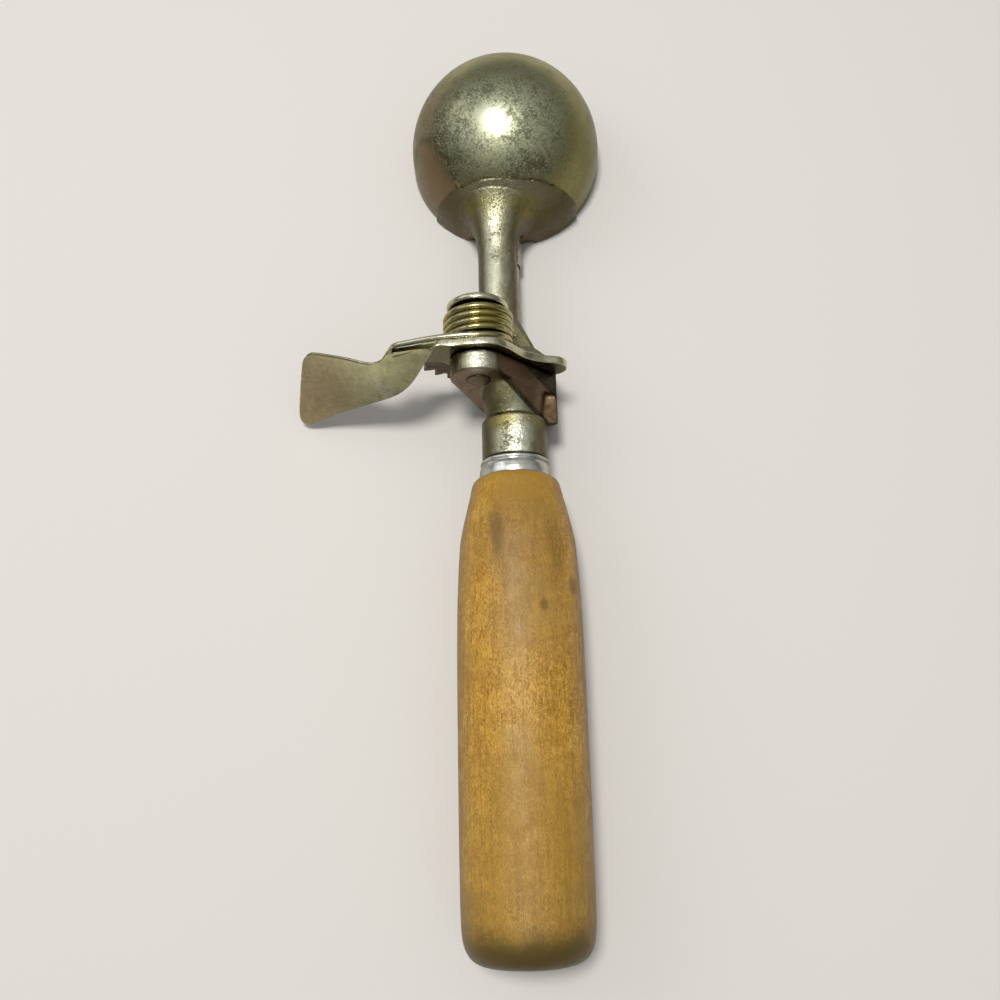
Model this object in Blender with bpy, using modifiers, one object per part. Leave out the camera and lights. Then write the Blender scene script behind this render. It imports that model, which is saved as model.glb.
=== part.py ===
# Ice cream scoop with a thumb lever, a geared sweep blade and a turned wooden handle.
# Frame: origin at the centre of the handle's butt, +Y towards the bowl, +Z up, metres.
# The scoop lies mouth down, so the bowl's rim and the handle's underside share one level.
import bpy
import bmesh
import math
from mathutils import Matrix, Vector

MM = 0.001
GAP = 0.3 * MM                     # clearance between neighbours that touch on the real scoop

# Wooden handle
HANDLE_LENGTH = 121.3 * MM
HANDLE_RADIUS = 16.7 * MM
HANDLE_END_RADIUS = 10.9 * MM      # at the ferrule
HANDLE_BUTT_FLAT = 9.0 * MM        # radius of the flat on the butt
TANG_RADIUS = 4.2 * MM
TANG_DEPTH = 78.0 * MM

# Ferrule and the neck of the frame
FERRULE_LENGTH = 5.2 * MM
FERRULE_RADIUS = 9.9 * MM
FERRULE_BEAD = 0.45 * MM
FERRULE_BEAD_LENGTH = 1.1 * MM
NECK_RADIUS = 9.05 * MM
NECK_LENGTH = 11.6 * MM
WEB_LENGTH = 8.4 * MM              # slanted web from the neck up to the boss
BOSS_RADIUS = 7.8 * MM
BOSS_LENGTH = 5.6 * MM
WEB_START_RADIUS = 7.6 * MM        # the web leaves the neck's end face inside its edge
WEB_START_DROP = 0.8 * MM
WEB_TOP_RADIUS = 5.4 * MM          # its round end on the boss's face, right of the stud
WEB_TOP_X = -2.8 * MM
WEB_TOP_Z = 7.0 * MM

# Bowl, mouth down
BOWL_RADIUS = 29.3 * MM
BOWL_WALL = 0.9 * MM
SKIRT_HEIGHT = 6.6 * MM            # straight wall below the half sphere
SOCKET_WALL = 1.5 * MM
SOCKET_EDGE_TOP = 21.2 * MM        # edge of the socket behind the bowl's middle, at the middle's level
SOCKET_EDGE_TILT = 6.5             # degrees that the edge plane leans from upright

# Gears: the sector on the lever turns the pinion on the sweep blade's shaft
GEAR_MODULE = 1.31 * MM
SECTOR_TEETH = 28                  # on the full circle
PINION_TEETH = 8
PRESSURE_ANGLE = math.radians(28)
ADDENDUM = 0.8 * GEAR_MODULE
ROOT_CLEARANCE = 0.35 * MM
FLANK_RELIEF = 0.15 * MM           # taken off each flank
SECTOR_RIGHT = 38.0                # degrees from straight down to the sector's ends
SECTOR_LEFT = 72.0
LEVER_TRAVEL = 48.0                # degrees from rest to the pressed pad

# Pivot of the lever, beside and above the neck
PIVOT_OFFSET = -9.5 * MM
STUD_RADIUS = 2.9 * MM
STUD_FRONT = 0.1 * MM              # the stud stands this far out of the boss's face
HUB_RADIUS = 8.3 * MM
LEVER_THICKNESS = 2.2 * MM
PAD_THICKNESS = 1.4 * MM
SECTOR_THICKNESS = 1.3 * MM
WASHER_RADIUS = 7.3 * MM
WASHER_THICKNESS = 0.5 * MM
RIVET_RADIUS = 1.0 * MM
RIVET_CIRCLE = 5.9 * MM

# Tail of the lever, which rests on the right wall of the gear housing
TAIL_LENGTH = 20.6 * MM            # from the pivot to the middle of its round end
TAIL_END_RADIUS = 4.1 * MM

# Top edge of the lever from the pad's fold to the tail, in mm across and above the pivot
LEVER_TOP_EDGE = [(-11.3, 9.3), (-7.3, 8.8), (-3.1, 9.6), (1.2, 10.1), (4.8, 9.6), (7.2, 7.9), (9.4, 5.3),
                  (11.6, 2.3), (14.0, 0.0), (17.4, -1.9)]

# Thumb pad: a flat fan-shaped plate folded forward from the lever's top edge
PAD_ROOT = (-34.0 * MM, 2.1 * MM)  # left end of the fold: across, and above the pivot
PAD_ROOT_SETBACK = 1.0 * MM        # behind the lever's front face
PAD_YAW = 20.9                     # degrees that the pad's long side swings towards the bowl
PAD_TILT = 58.5                    # degrees that the pad stands from level
PAD_FRONT_EDGE = [(-11.9, -8.6), (-11.5, -5.3), (-10.3, -1.6), (-7.7, 5.8), (-3.9, 11.4), (3.6, 17.5),
                  (12.9, 24.8), (21.4, 32.4)]
PAD_LEFT_EDGE = [(23.2, 32.5), (24.3, 29.8), (24.5, 20.0), (24.2, 10.6)]
PAD_REAR_EDGE = [(22.4, 8.2), (12.0, 6.0), (5.6, 5.3), (2.4, 4.0), (0.4, 1.4)]

# Gear housing: the wall right of the sector and the bearing below it
WALL_INNER = 7.6 * MM
WALL_OUTER = 12.4 * MM
WALL_BACK = 3.2 * MM               # the shaft's lug starts this far before the boss's face
WALL_START = 8.9 * MM              # and the wall's top this far
WALL_LEAN = 5.9 * MM               # by which the wall's near end leans back at its bottom
LUG_RADIUS = 5.9 * MM
JOURNAL_RADIUS = 1.55 * MM
RUNNING_GAP = 0.3 * MM

# Return spring round the pivot
WIRE = 1.5 * MM
COIL_RADIUS = 8.95 * MM            # to the middle of the wire
COIL_PITCH = 2.3 * MM
COIL_TURNS = 3.25
COIL_TO_CAP = 1.3 * MM             # free space that the cap leaves over the last turn
POINTS_PER_TURN = 10
SLEEVE_RADIUS = 7.3 * MM
CAP_RADIUS = 8.6 * MM
CAP_THICKNESS = 2.0 * MM
STUD_HEAD_RADIUS = 4.2 * MM
STUD_HEAD_HEIGHT = 0.9 * MM

# Shank from the housing to the bowl
SHANK_RADIUS = 5.75 * MM
SHANK_OFFSET = -3.45 * MM
SHANK_ABOVE_SHAFT = 6.8 * MM
SHANK_LENGTH = 48.1 * MM           # from the gear slot to the nearest point of the bowl
FLARE_SHORT = 4.2 * MM
FLARE_LONG = 15.0 * MM
FLARE_WIDTH = 7.0 * MM             # right edge of the flare, from the middle plane
FUNNEL_FILLET = 15.5 * MM

# Sweep blade and its shaft
SHAFT_RADIUS = 3.2 * MM
SQUARE_SIDE = 3.4 * MM
BEARING_RADIUS = 4.0 * MM
BEARING_LENGTH = 12.0 * MM
BLADE_THICKNESS = 0.8 * MM
BLADE_WIDTH = 11.0 * MM
BLADE_TAB_WIDTH = 7.6 * MM
BLADE_CLEARANCE = 0.5 * MM
NOSE_RADIUS = 1.7 * MM
PEEN_RADIUS = 2.7 * MM
PEEN_HEIGHT = 0.8 * MM

# Places worked out from the sizes
RIM_Z = -HANDLE_RADIUS
SHAFT_Z = RIM_Z + SKIRT_HEIGHT
SECTOR_PITCH = SECTOR_TEETH * GEAR_MODULE / 2
PINION_PITCH = PINION_TEETH * GEAR_MODULE / 2
CENTRE_DISTANCE = SECTOR_PITCH + PINION_PITCH
PIVOT_Z = SHAFT_Z + math.sqrt(CENTRE_DISTANCE ** 2 - PIVOT_OFFSET ** 2)
MESH_ANGLE = math.atan2(SHAFT_Z - PIVOT_Z, -PIVOT_OFFSET)
SHANK_Z = SHAFT_Z + SHANK_ABOVE_SHAFT
WALL_TOP_Z = 0.1 * MM
WALL_BOTTOM_Z = RIM_Z + 0.5 * MM

FERRULE_Y = HANDLE_LENGTH + GAP
NECK_Y = FERRULE_Y + FERRULE_LENGTH + GAP
WEB_Y = NECK_Y + NECK_LENGTH
BOSS_Y = WEB_Y + WEB_LENGTH
BOSS_END_Y = BOSS_Y + BOSS_LENGTH
LEVER_Y = BOSS_END_Y + GAP
SECTOR_Y = LEVER_Y + LEVER_THICKNESS + GAP
WASHER_Y = SECTOR_Y + SECTOR_THICKNESS + GAP
SLOT_END_Y = WASHER_Y + WASHER_THICKNESS
SLEEVE_Y = SLOT_END_Y + GAP
COIL_Y = WASHER_Y + WIRE / 2
COIL_END_Y = COIL_Y + COIL_TURNS * COIL_PITCH
CAP_Y = COIL_END_Y + WIRE / 2 + COIL_TO_CAP
STUD_END_Y = CAP_Y + CAP_THICKNESS + GAP
BOWL_Y = SLOT_END_Y + SHANK_LENGTH + BOWL_RADIUS
BLADE_RADIUS = BOWL_RADIUS - BOWL_WALL - BLADE_CLEARANCE
BEARING_Y = BOWL_Y - BOWL_RADIUS - BEARING_LENGTH

STEP = 0.15 * MM                   # overlap or inset where solids of the casting are joined
ROUND_STEPS = 32
FINE_STEPS = 44


def clear_scene():
    for obj in list(bpy.data.objects):
        bpy.data.objects.remove(obj, do_unlink=True)


def new_collection(name):
    collection = bpy.data.collections.new(name)
    bpy.context.scene.collection.children.link(collection)
    return collection


def material(name, colour, roughness, metallic):
    made = bpy.data.materials.new(name)
    made.use_nodes = True
    shader = made.node_tree.nodes["Principled BSDF"]
    shader.inputs["Base Color"].default_value = (*colour, 1.0)
    shader.inputs["Roughness"].default_value = roughness
    shader.inputs["Metallic"].default_value = metallic
    return made


def face_outwards(bm):
    """Points every face out of the solid. Thin plates need the check of the signed volume."""
    bmesh.ops.recalc_face_normals(bm, faces=bm.faces)
    if bm.calc_volume(signed=True) < 0:
        bmesh.ops.reverse_faces(bm, faces=bm.faces)


def from_bmesh(name, bm, collection):
    """An object that holds the bmesh, with its faces pointing outwards."""
    face_outwards(bm)
    mesh = bpy.data.meshes.new(name)
    bm.to_mesh(mesh)
    bm.free()
    obj = bpy.data.objects.new(name, mesh)
    collection.objects.link(obj)
    return obj


def along_y(centre_x, y, centre_z):
    """Turns a shape made about +Z so that it runs along +Y from the given place."""
    return Matrix.Translation((centre_x, y, centre_z)) @ Matrix.Rotation(-math.pi / 2, 4, "X")


def cylinder(name, collection, radius, y_low, y_high, centre_x=0.0, centre_z=0.0,
             segments=ROUND_STEPS, turn=0.0):
    """A round or many-sided bar along Y."""
    bm = bmesh.new()
    length = y_high - y_low
    place = along_y(centre_x, (y_low + y_high) / 2, centre_z) @ Matrix.Rotation(turn, 4, "Z")
    bmesh.ops.create_cone(bm, cap_ends=True, segments=segments, radius1=radius, radius2=radius,
                          depth=length, matrix=place)
    return from_bmesh(name, bm, collection)


def box(name, collection, low, high):
    bm = bmesh.new()
    size = Vector(high) - Vector(low)
    middle = (Vector(high) + Vector(low)) / 2
    place = Matrix.Translation(middle) @ Matrix.Diagonal((*size, 1.0))
    bmesh.ops.create_cube(bm, size=1.0, matrix=place)
    return from_bmesh(name, bm, collection)


def ring_points(radius, y, centre_x, centre_z, count=ROUND_STEPS):
    angles = [2 * math.pi * i / count for i in range(count)]
    return [(centre_x + radius * math.cos(a), y, centre_z + radius * math.sin(a)) for a in angles]


def box_points(x_low, x_high, y, z_low, z_high):
    return [(x, y, z) for x in (x_low, x_high) for z in (z_low, z_high)]


def hull(name, collection, points):
    """The tightest convex solid round the points."""
    bm = bmesh.new()
    for point in points:
        bm.verts.new(point)
    made = bmesh.ops.convex_hull(bm, input=bm.verts)
    unused = list({v for v in made["geom_interior"] + made["geom_unused"]
                   if isinstance(v, bmesh.types.BMVert)})
    bmesh.ops.delete(bm, geom=unused, context="VERTS")
    return from_bmesh(name, bm, collection)


def turned(name, collection, profile, place, steps=FINE_STEPS):
    """A profile of (radius, height) turned about +Z with a Screw, then set in its place."""
    mesh = bpy.data.meshes.new(name)
    points = [(radius, 0.0, height) for radius, height in profile]
    count = len(points)
    closed = profile[0][0] > 0 and profile[-1][0] > 0
    edges = [(i, i + 1) for i in range(count - 1)] + ([(count - 1, 0)] if closed else [])
    mesh.from_pydata(points, edges, [])
    obj = bpy.data.objects.new(name, mesh)
    collection.objects.link(obj)
    screw = obj.modifiers.new("Screw", "SCREW")
    screw.axis = "Z"
    screw.steps = steps
    screw.render_steps = steps
    screw.use_merge_vertices = True
    screw.merge_threshold = 0.01 * MM
    obj.matrix_world = place
    return bake(obj)


def bake(obj):
    """Gives the object its evaluated mesh, in world places and with its doubles welded."""
    bpy.context.view_layer.update()
    evaluated = obj.evaluated_get(bpy.context.evaluated_depsgraph_get())
    mesh = bpy.data.meshes.new_from_object(evaluated)
    mesh.transform(obj.matrix_world)
    baked = bpy.data.objects.new(obj.name, mesh)
    obj.users_collection[0].objects.link(baked)
    name = obj.name
    bpy.data.objects.remove(obj)
    baked.name = name
    return baked


def weld(obj):
    """Merges corners at one place: a baked curve's caps and walls, or what a Boolean left doubled."""
    bm = bmesh.new()
    bm.from_mesh(obj.data)
    bmesh.ops.remove_doubles(bm, verts=bm.verts, dist=0.001 * MM)
    face_outwards(bm)
    bm.to_mesh(obj.data)
    bm.free()
    return obj


def flat_plate(name, collection, outline, thickness, place):
    """A closed flat outline with thickness, centred on its own plane and set in its place."""
    curve = bpy.data.curves.new(name, "CURVE")
    curve.dimensions = "2D"
    curve.fill_mode = "BOTH"
    curve.extrude = thickness / 2
    spline = curve.splines.new("POLY")
    spline.points.add(len(outline) - 1)
    for point, (x, y) in zip(spline.points, outline):
        point.co = (x, y, 0.0, 1.0)
    spline.use_cyclic_u = True
    obj = bpy.data.objects.new(name, curve)
    collection.objects.link(obj)
    obj.matrix_world = place
    return weld(bake(obj))


def rounded(points, steps):
    """The open line of points, made smooth with a few steps between each two."""
    line = []
    for i in range(len(points) - 1):
        before = points[max(0, i - 1)]
        after = points[min(len(points) - 1, i + 2)]
        start, end = points[i], points[i + 1]
        for step in range(steps):
            t = step / steps
            line.append(tuple(
                0.5 * (2 * b + (c - a) * t + (2 * a - 5 * b + 4 * c - d) * t ** 2
                       + (3 * b - a - 3 * c + d) * t ** 3)
                for a, b, c, d in zip(before, start, end, after)))
    return line + [points[-1]]


def combine(target, tool, operation):
    """Joins the tool to the target, or cuts it away, and takes the tool out of the scene."""
    boolean = target.modifiers.new("Boolean", "BOOLEAN")
    boolean.operation = operation
    boolean.object = tool
    target = weld(bake(target))
    bpy.data.objects.remove(tool)
    return target


def join_all(target, tools):
    for tool in tools:
        target = combine(target, tool, "UNION")
    return target


def cut_all(target, tools):
    for tool in tools:
        target = combine(target, tool, "DIFFERENCE")
    return target


def arc(centre, radius, start, end, steps):
    """Points on an arc from start to end, in degrees."""
    angles = [math.radians(start + (end - start) * i / steps) for i in range(steps + 1)]
    return [(centre[0] + radius * math.cos(a), centre[1] + radius * math.sin(a)) for a in angles]


def involute(angle):
    return math.tan(angle) - angle


def tooth(teeth, pitch_radius, tip, root, middle):
    """Outline of one gear tooth round the angle middle, from its right root to its left root."""
    base = pitch_radius * math.cos(PRESSURE_ANGLE)
    half = math.pi / (2 * teeth) - FLANK_RELIEF / pitch_radius
    flank = []
    for step in range(4):
        radius = max(root, base) + (tip - max(root, base)) * step / 3
        lean = half + involute(PRESSURE_ANGLE) - involute(math.acos(min(1.0, base / radius)))
        flank.append((radius, lean))
    if root < base:
        flank.insert(0, (root, flank[0][1]))
    right = [(r * math.cos(middle - a), r * math.sin(middle - a)) for r, a in flank]
    left = [(r * math.cos(middle + a), r * math.sin(middle + a)) for r, a in reversed(flank)]
    return right + left


def upright_plate(x, y, z):
    """Place for a flat outline drawn as (across, up), with its plane facing along Y."""
    return Matrix.Translation((x, y, z)) @ Matrix.Rotation(math.pi / 2, 4, "X")


def make_handle(parts):
    """Turned grip: round butt, a long belly and a shoulder that draws in to the ferrule."""
    length = HANDLE_LENGTH
    end = HANDLE_END_RADIUS
    swell = HANDLE_RADIUS
    shoulder = [(0.0, 0.0), (1.3, -1.3), (2.2, -4.7), (3.4, -9.6), (4.5, -15.0), (4.95, -21.0), (5.35, -28.0)]
    profile = [(TANG_RADIUS + GAP, length), (end - 1.4 * MM, length), (end - 0.4 * MM, length - 0.4 * MM)]
    for out, along in shoulder:
        share = out / 5.8
        profile.append((end + (swell - end) * share, length - 1.4 * MM + along * MM))
    profile.append((swell, length * 0.6))
    profile.append((swell, length * 0.22))
    profile.append((swell - 0.25 * MM, 11.0 * MM))
    butt_turn = 7.0 * MM
    belly = swell - 0.45 * MM
    for step in range(6):
        angle = math.radians(90 * step / 5)
        radius = HANDLE_BUTT_FLAT + (belly - HANDLE_BUTT_FLAT) * math.cos(angle)
        profile.append((radius, butt_turn * (1 - math.sin(angle))))
    profile.append((0.0, 0.0))
    bore = [(0.0, length - TANG_DEPTH - GAP), (TANG_RADIUS + GAP, length - TANG_DEPTH - GAP)]
    return turned("handle_grip", parts, bore + profile, along_y(0, 0, 0))


def make_ferrule(parts):
    """Steel ring between the wood and the neck, with a bead at its bowl end."""
    low = FERRULE_Y
    high = FERRULE_Y + FERRULE_LENGTH
    inner = TANG_RADIUS + GAP
    bead = high - FERRULE_BEAD_LENGTH
    profile = [(inner, high), (NECK_RADIUS, high), (FERRULE_RADIUS, high - FERRULE_BEAD_LENGTH / 2),
               (FERRULE_RADIUS - FERRULE_BEAD, bead), (FERRULE_RADIUS - FERRULE_BEAD, bead - 0.5 * MM),
               (FERRULE_RADIUS, bead - 1.2 * MM), (FERRULE_RADIUS, low), (inner, low)]
    return turned("ferrule", parts, profile, along_y(0, 0, 0))


def dome_profile(radius, rim, steps):
    """Half profile of the bowl's form, from its crown down to its rim."""
    profile = []
    for step in range(steps + 1):
        angle = math.radians(90 * (1 - step / steps))
        profile.append((radius * math.cos(angle) if step else 0.0, radius * math.sin(angle)))
    profile.append((radius, rim))
    return profile


def dome_shell(name, collection, outer, inner, rim, steps=FINE_STEPS):
    outside = dome_profile(outer, rim, 11)
    inside = dome_profile(inner, rim, 11)
    place = Matrix.Translation((0, BOWL_Y, SHAFT_Z))
    return turned(name, collection, outside + inside[::-1], place, steps)


def make_bowl(parts, cutters):
    """Half sphere with a straight skirt, and a hole on the sweep axis at each end."""
    bowl = dome_shell("bowl", parts, BOWL_RADIUS, BOWL_RADIUS - BOWL_WALL, -SKIRT_HEIGHT)
    near = cylinder("shaft_hole", cutters, SHAFT_RADIUS + GAP, BOWL_Y - BOWL_RADIUS - 2 * MM,
                    BOWL_Y - BOWL_RADIUS * 0.7, 0, SHAFT_Z)
    far = cylinder("pin_hole", cutters, NOSE_RADIUS + GAP, BOWL_Y + BOWL_RADIUS * 0.7,
                   BOWL_Y + BOWL_RADIUS + 2 * MM, 0, SHAFT_Z, 16)
    return cut_all(bowl, [near, far])


def lofted(name, collection, rings):
    """A solid through round rings, each given as its place (facing along its own Z) and radius."""
    bm = bmesh.new()
    loops = []
    for place, radius in rings:
        made = bmesh.ops.create_circle(bm, cap_ends=False, segments=ROUND_STEPS, radius=radius, matrix=place)
        loops.append(list({edge for vert in made["verts"] for edge in vert.link_edges}))
    for first, second in zip(loops, loops[1:]):
        bmesh.ops.bridge_loops(bm, edges=first + second)
    for end in (loops[0], loops[-1]):
        bmesh.ops.contextual_create(bm, geom=end)
    return from_bmesh(name, bm, collection)


def shank_rings():
    """Rings of the shank and of the funnel that opens, by a fillet, onto the socket's ball.

    The fillet is worked out round the line from the bowl's middle to the shank's end, and the
    rings turn from the shank's direction to that line as they widen.
    """
    socket = BOWL_RADIUS + GAP + SOCKET_WALL - 2 * STEP
    reach = socket + FUNNEL_FILLET
    offset = SHANK_RADIUS + FUNNEL_FILLET
    back = math.sqrt(reach ** 2 - offset ** 2)
    touch = math.asin(offset / reach)
    middle = Vector((0, BOWL_Y, SHAFT_Z))
    outwards = Vector((SHANK_OFFSET, 0, SHANK_ABOVE_SHAFT))
    outwards.y = -math.sqrt(socket ** 2 - outwards.length_squared)
    outwards.normalize()
    upright = Matrix.Rotation(-math.pi / 2, 4, "X").to_quaternion()
    turn = Vector((0, -1, 0)).rotation_difference(outwards)
    rings = [(along_y(SHANK_OFFSET, SLOT_END_Y + STEP, SHANK_Z), SHANK_RADIUS)]
    steps = 7
    for step in range(steps + 1):
        share = step / steps
        angle = (math.pi / 2 - touch) * share
        radius = offset - FUNNEL_FILLET * math.cos(angle)
        back_now = back - FUNNEL_FILLET * math.sin(angle)
        straight = Vector((SHANK_OFFSET, BOWL_Y - back_now, SHANK_Z))
        aimed = middle + outwards * back_now
        blend = share * share * (3 - 2 * share)
        facing = upright.slerp(turn @ upright, blend)
        rings.append((Matrix.LocRotScale(straight.lerp(aimed, blend), facing, None), radius))
    inner = (socket - SOCKET_WALL - 4 * STEP) / socket
    last = (Matrix.LocRotScale(middle + outwards * socket * math.cos(touch) * inner, turn @ upright, None),
            socket * math.sin(touch) * inner)
    return rings + [last]


def make_shank(cutters):
    shank = lofted("shank", cutters, shank_rings())
    below = box("below_rim", cutters, (-BOWL_RADIUS, SLOT_END_Y, RIM_Z - 20 * MM), (BOWL_RADIUS, BOWL_Y, RIM_Z + STEP))
    return combine(shank, below, "DIFFERENCE")


def make_socket(cutters):
    """The part of the frame that cups the bowl, cut off along a leaning plane."""
    outer = BOWL_RADIUS + GAP + SOCKET_WALL
    socket = dome_shell("socket", cutters, outer, BOWL_RADIUS - BOWL_WALL, -SKIRT_HEIGHT)
    far = 3 * BOWL_RADIUS
    bm = bmesh.new()
    lean = Matrix.Translation((0, BOWL_Y - SOCKET_EDGE_TOP, SHAFT_Z)) @ Matrix.Rotation(
        math.radians(SOCKET_EDGE_TILT), 4, "X")
    bmesh.ops.create_cube(bm, size=1.0, matrix=lean @ Matrix.Translation((0, far / 2, 0)) @ Matrix.Diagonal(
        (far, far, far, 1.0)))
    return combine(socket, from_bmesh("socket_edge", bm, cutters), "DIFFERENCE")


def make_frame(parts, cutters):
    """One casting: tang, neck, web, pivot boss, gear housing, shank, funnel and bowl socket."""
    neck = cylinder("frame_casting", parts, NECK_RADIUS, NECK_Y, WEB_Y)
    tang = cylinder("tang", cutters, TANG_RADIUS, HANDLE_LENGTH - TANG_DEPTH, NECK_Y + 1 * MM, segments=20)
    core = NECK_RADIUS - STEP
    strip_top = WALL_TOP_Z - STEP
    body = hull("body", cutters, ring_points(BOSS_RADIUS, BOSS_Y, PIVOT_OFFSET, PIVOT_Z)
                + ring_points(BOSS_RADIUS, BOSS_END_Y, PIVOT_OFFSET, PIVOT_Z)
                + box_points(WALL_INNER, WALL_OUTER - STEP, BOSS_Y, -NECK_RADIUS / 2, strip_top)
                + box_points(WALL_INNER, WALL_OUTER - STEP, BOSS_END_Y, -NECK_RADIUS / 2, strip_top)
                + ring_points(core, BOSS_Y, 0, 0)
                + ring_points(core, BOSS_END_Y, 0, 0))
    web = hull("web", cutters, ring_points(WEB_START_RADIUS, WEB_Y - 1 * MM, 0, -WEB_START_DROP)
               + ring_points(core - STEP, BOSS_Y + STEP, 0, 0)
               + ring_points(WEB_TOP_RADIUS, BOSS_Y + STEP, WEB_TOP_X, WEB_TOP_Z))
    lug_top = -NECK_RADIUS / 3
    lug = hull("lug", cutters, ring_points(LUG_RADIUS, BOSS_Y - WALL_BACK, 0, SHAFT_Z)
               + ring_points(LUG_RADIUS, BOSS_END_Y - STEP, 0, SHAFT_Z)
               + ring_points(LUG_RADIUS, BOSS_Y - WALL_BACK, 0, lug_top)
               + ring_points(LUG_RADIUS, BOSS_END_Y - STEP, 0, lug_top))
    wall = hull("housing_wall", cutters,
                box_points(WALL_INNER, WALL_OUTER, BOSS_Y - WALL_START, WALL_TOP_Z - STEP, WALL_TOP_Z)
                + box_points(WALL_INNER, WALL_OUTER, BOSS_Y - WALL_START + WALL_LEAN, WALL_BOTTOM_Z, WALL_TOP_Z)
                + box_points(WALL_INNER, WALL_OUTER, SLOT_END_Y + 0.5 * MM, WALL_BOTTOM_Z, WALL_TOP_Z))
    foot = box("wall_foot", cutters, (0, BOSS_Y - WALL_BACK + 2 * STEP, WALL_BOTTOM_Z + 2 * STEP),
               (WALL_OUTER - 2 * STEP, BOSS_END_Y - 2 * STEP, lug_top))
    core = SHANK_RADIUS - STEP
    near_edge = box_points(0, WALL_OUTER - STEP, SLOT_END_Y, WALL_BOTTOM_Z + STEP, WALL_TOP_Z - STEP)
    far_edge = box_points(0, FLARE_WIDTH, SLOT_END_Y + FLARE_SHORT, WALL_BOTTOM_Z + 4 * STEP, WALL_TOP_Z - 3 * STEP)
    flare = hull("flare", cutters, near_edge + far_edge
                 + ring_points(core, SLOT_END_Y, SHANK_OFFSET, SHANK_Z)
                 + ring_points(core, SLOT_END_Y + FLARE_SHORT, SHANK_OFFSET, SHANK_Z))
    taper_start = SLOT_END_Y + FLARE_SHORT - STEP
    taper = hull("taper", cutters,
                 box_points(0, FLARE_WIDTH - STEP, taper_start, WALL_BOTTOM_Z + 5 * STEP, WALL_TOP_Z - 4 * STEP)
                 + ring_points(core - STEP, taper_start, SHANK_OFFSET, SHANK_Z)
                 + ring_points(core - STEP, SLOT_END_Y + FLARE_LONG, SHANK_OFFSET, SHANK_Z))
    frame = join_all(neck, [tang, body, web, lug, foot, wall, flare, taper, make_shank(cutters), make_socket(cutters)])

    cavity = turned("bowl_form", cutters,
                    dome_profile(BOWL_RADIUS + GAP, -SKIRT_HEIGHT - 2 * MM, 11) + [(0.0, -SKIRT_HEIGHT - 2 * MM)],
                    Matrix.Translation((0, BOWL_Y, SHAFT_Z)))
    journal_bore = cylinder("journal_bore", cutters, JOURNAL_RADIUS + GAP, BOSS_Y - WALL_BACK + 2 * MM,
                            BOSS_END_Y + 2 * MM, 0, SHAFT_Z, 20)
    groove = cylinder("shaft_groove", cutters, SHAFT_RADIUS + RUNNING_GAP, SLOT_END_Y - 2 * MM, BEARING_Y, 0, SHAFT_Z)
    seat = cylinder("bearing_seat", cutters, BEARING_RADIUS + GAP, BEARING_Y - GAP, BOWL_Y, 0, SHAFT_Z)
    leg_x, leg_y = fixed_leg_place()
    leg_hole = leg_cutter(cutters, leg_x, leg_y)
    stud_bore = cylinder("stud_bore", cutters, STUD_RADIUS + GAP, WEB_Y + 1 * MM, BOSS_END_Y + 0.5 * MM,
                         PIVOT_OFFSET, PIVOT_Z)
    return cut_all(frame, [stud_bore, cavity, journal_bore, groove, seat, leg_hole])


def fixed_leg_place():
    """Where the spring's fixed leg goes down into the shank: right of the coil, at its far end."""
    return PIVOT_OFFSET + COIL_RADIUS, COIL_END_Y


def leg_cutter(cutters, x, y):
    bm = bmesh.new()
    top = SHANK_Z + SHANK_RADIUS + 1 * MM
    bottom = SHANK_Z + SHANK_RADIUS * 0.2
    place = Matrix.Translation((x, y, (top + bottom) / 2))
    bmesh.ops.create_cone(bm, cap_ends=True, segments=12, radius1=WIRE / 2 + GAP, radius2=WIRE / 2 + GAP,
                          depth=top - bottom, matrix=place)
    return from_bmesh("leg_hole", bm, cutters)


def make_lever(parts, cutters):
    """Stamped lever: hub round the stud, tail on the right, arm and folded thumb pad on the left."""
    tail_angle = math.atan2(WALL_TOP_Z + GAP + TAIL_END_RADIUS - PIVOT_Z, TAIL_LENGTH)
    tail_middle = (TAIL_LENGTH, TAIL_LENGTH * math.tan(tail_angle))
    rest_level = WALL_TOP_Z + GAP - PIVOT_Z
    arm_left = (PAD_ROOT[0] - PIVOT_OFFSET, PAD_ROOT[1])
    outline = [(x * MM, z * MM) for x, z in rounded(LEVER_TOP_EDGE, 3)]
    outline += arc(tail_middle, TAIL_END_RADIUS, 78, -90, 8)
    outline += [(16.0 * MM, rest_level), (12.0 * MM, rest_level + 0.8 * MM)]
    outline += arc((0, 0), HUB_RADIUS, -40, -165, 10)
    outline += [(arm_left[0] + 12.0 * MM, arm_left[1] - 3.0 * MM), (arm_left[0] + 1.0 * MM, arm_left[1] - 3.4 * MM)]
    outline += [(arm_left[0], arm_left[1])]
    place = upright_plate(PIVOT_OFFSET, LEVER_Y + LEVER_THICKNESS / 2, PIVOT_Z)
    lever = flat_plate("thumb_lever", parts, outline, LEVER_THICKNESS, place)
    lever = combine(lever, make_pad(cutters), "UNION")
    bore = cylinder("lever_bore", cutters, STUD_RADIUS + RUNNING_GAP, LEVER_Y - 2 * MM, SECTOR_Y, PIVOT_OFFSET, PIVOT_Z)
    return cut_all(lever, [bore] + rivet_set(cutters, RIVET_RADIUS + GAP, LEVER_Y - 2 * MM, SECTOR_Y + 2 * MM))


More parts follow.
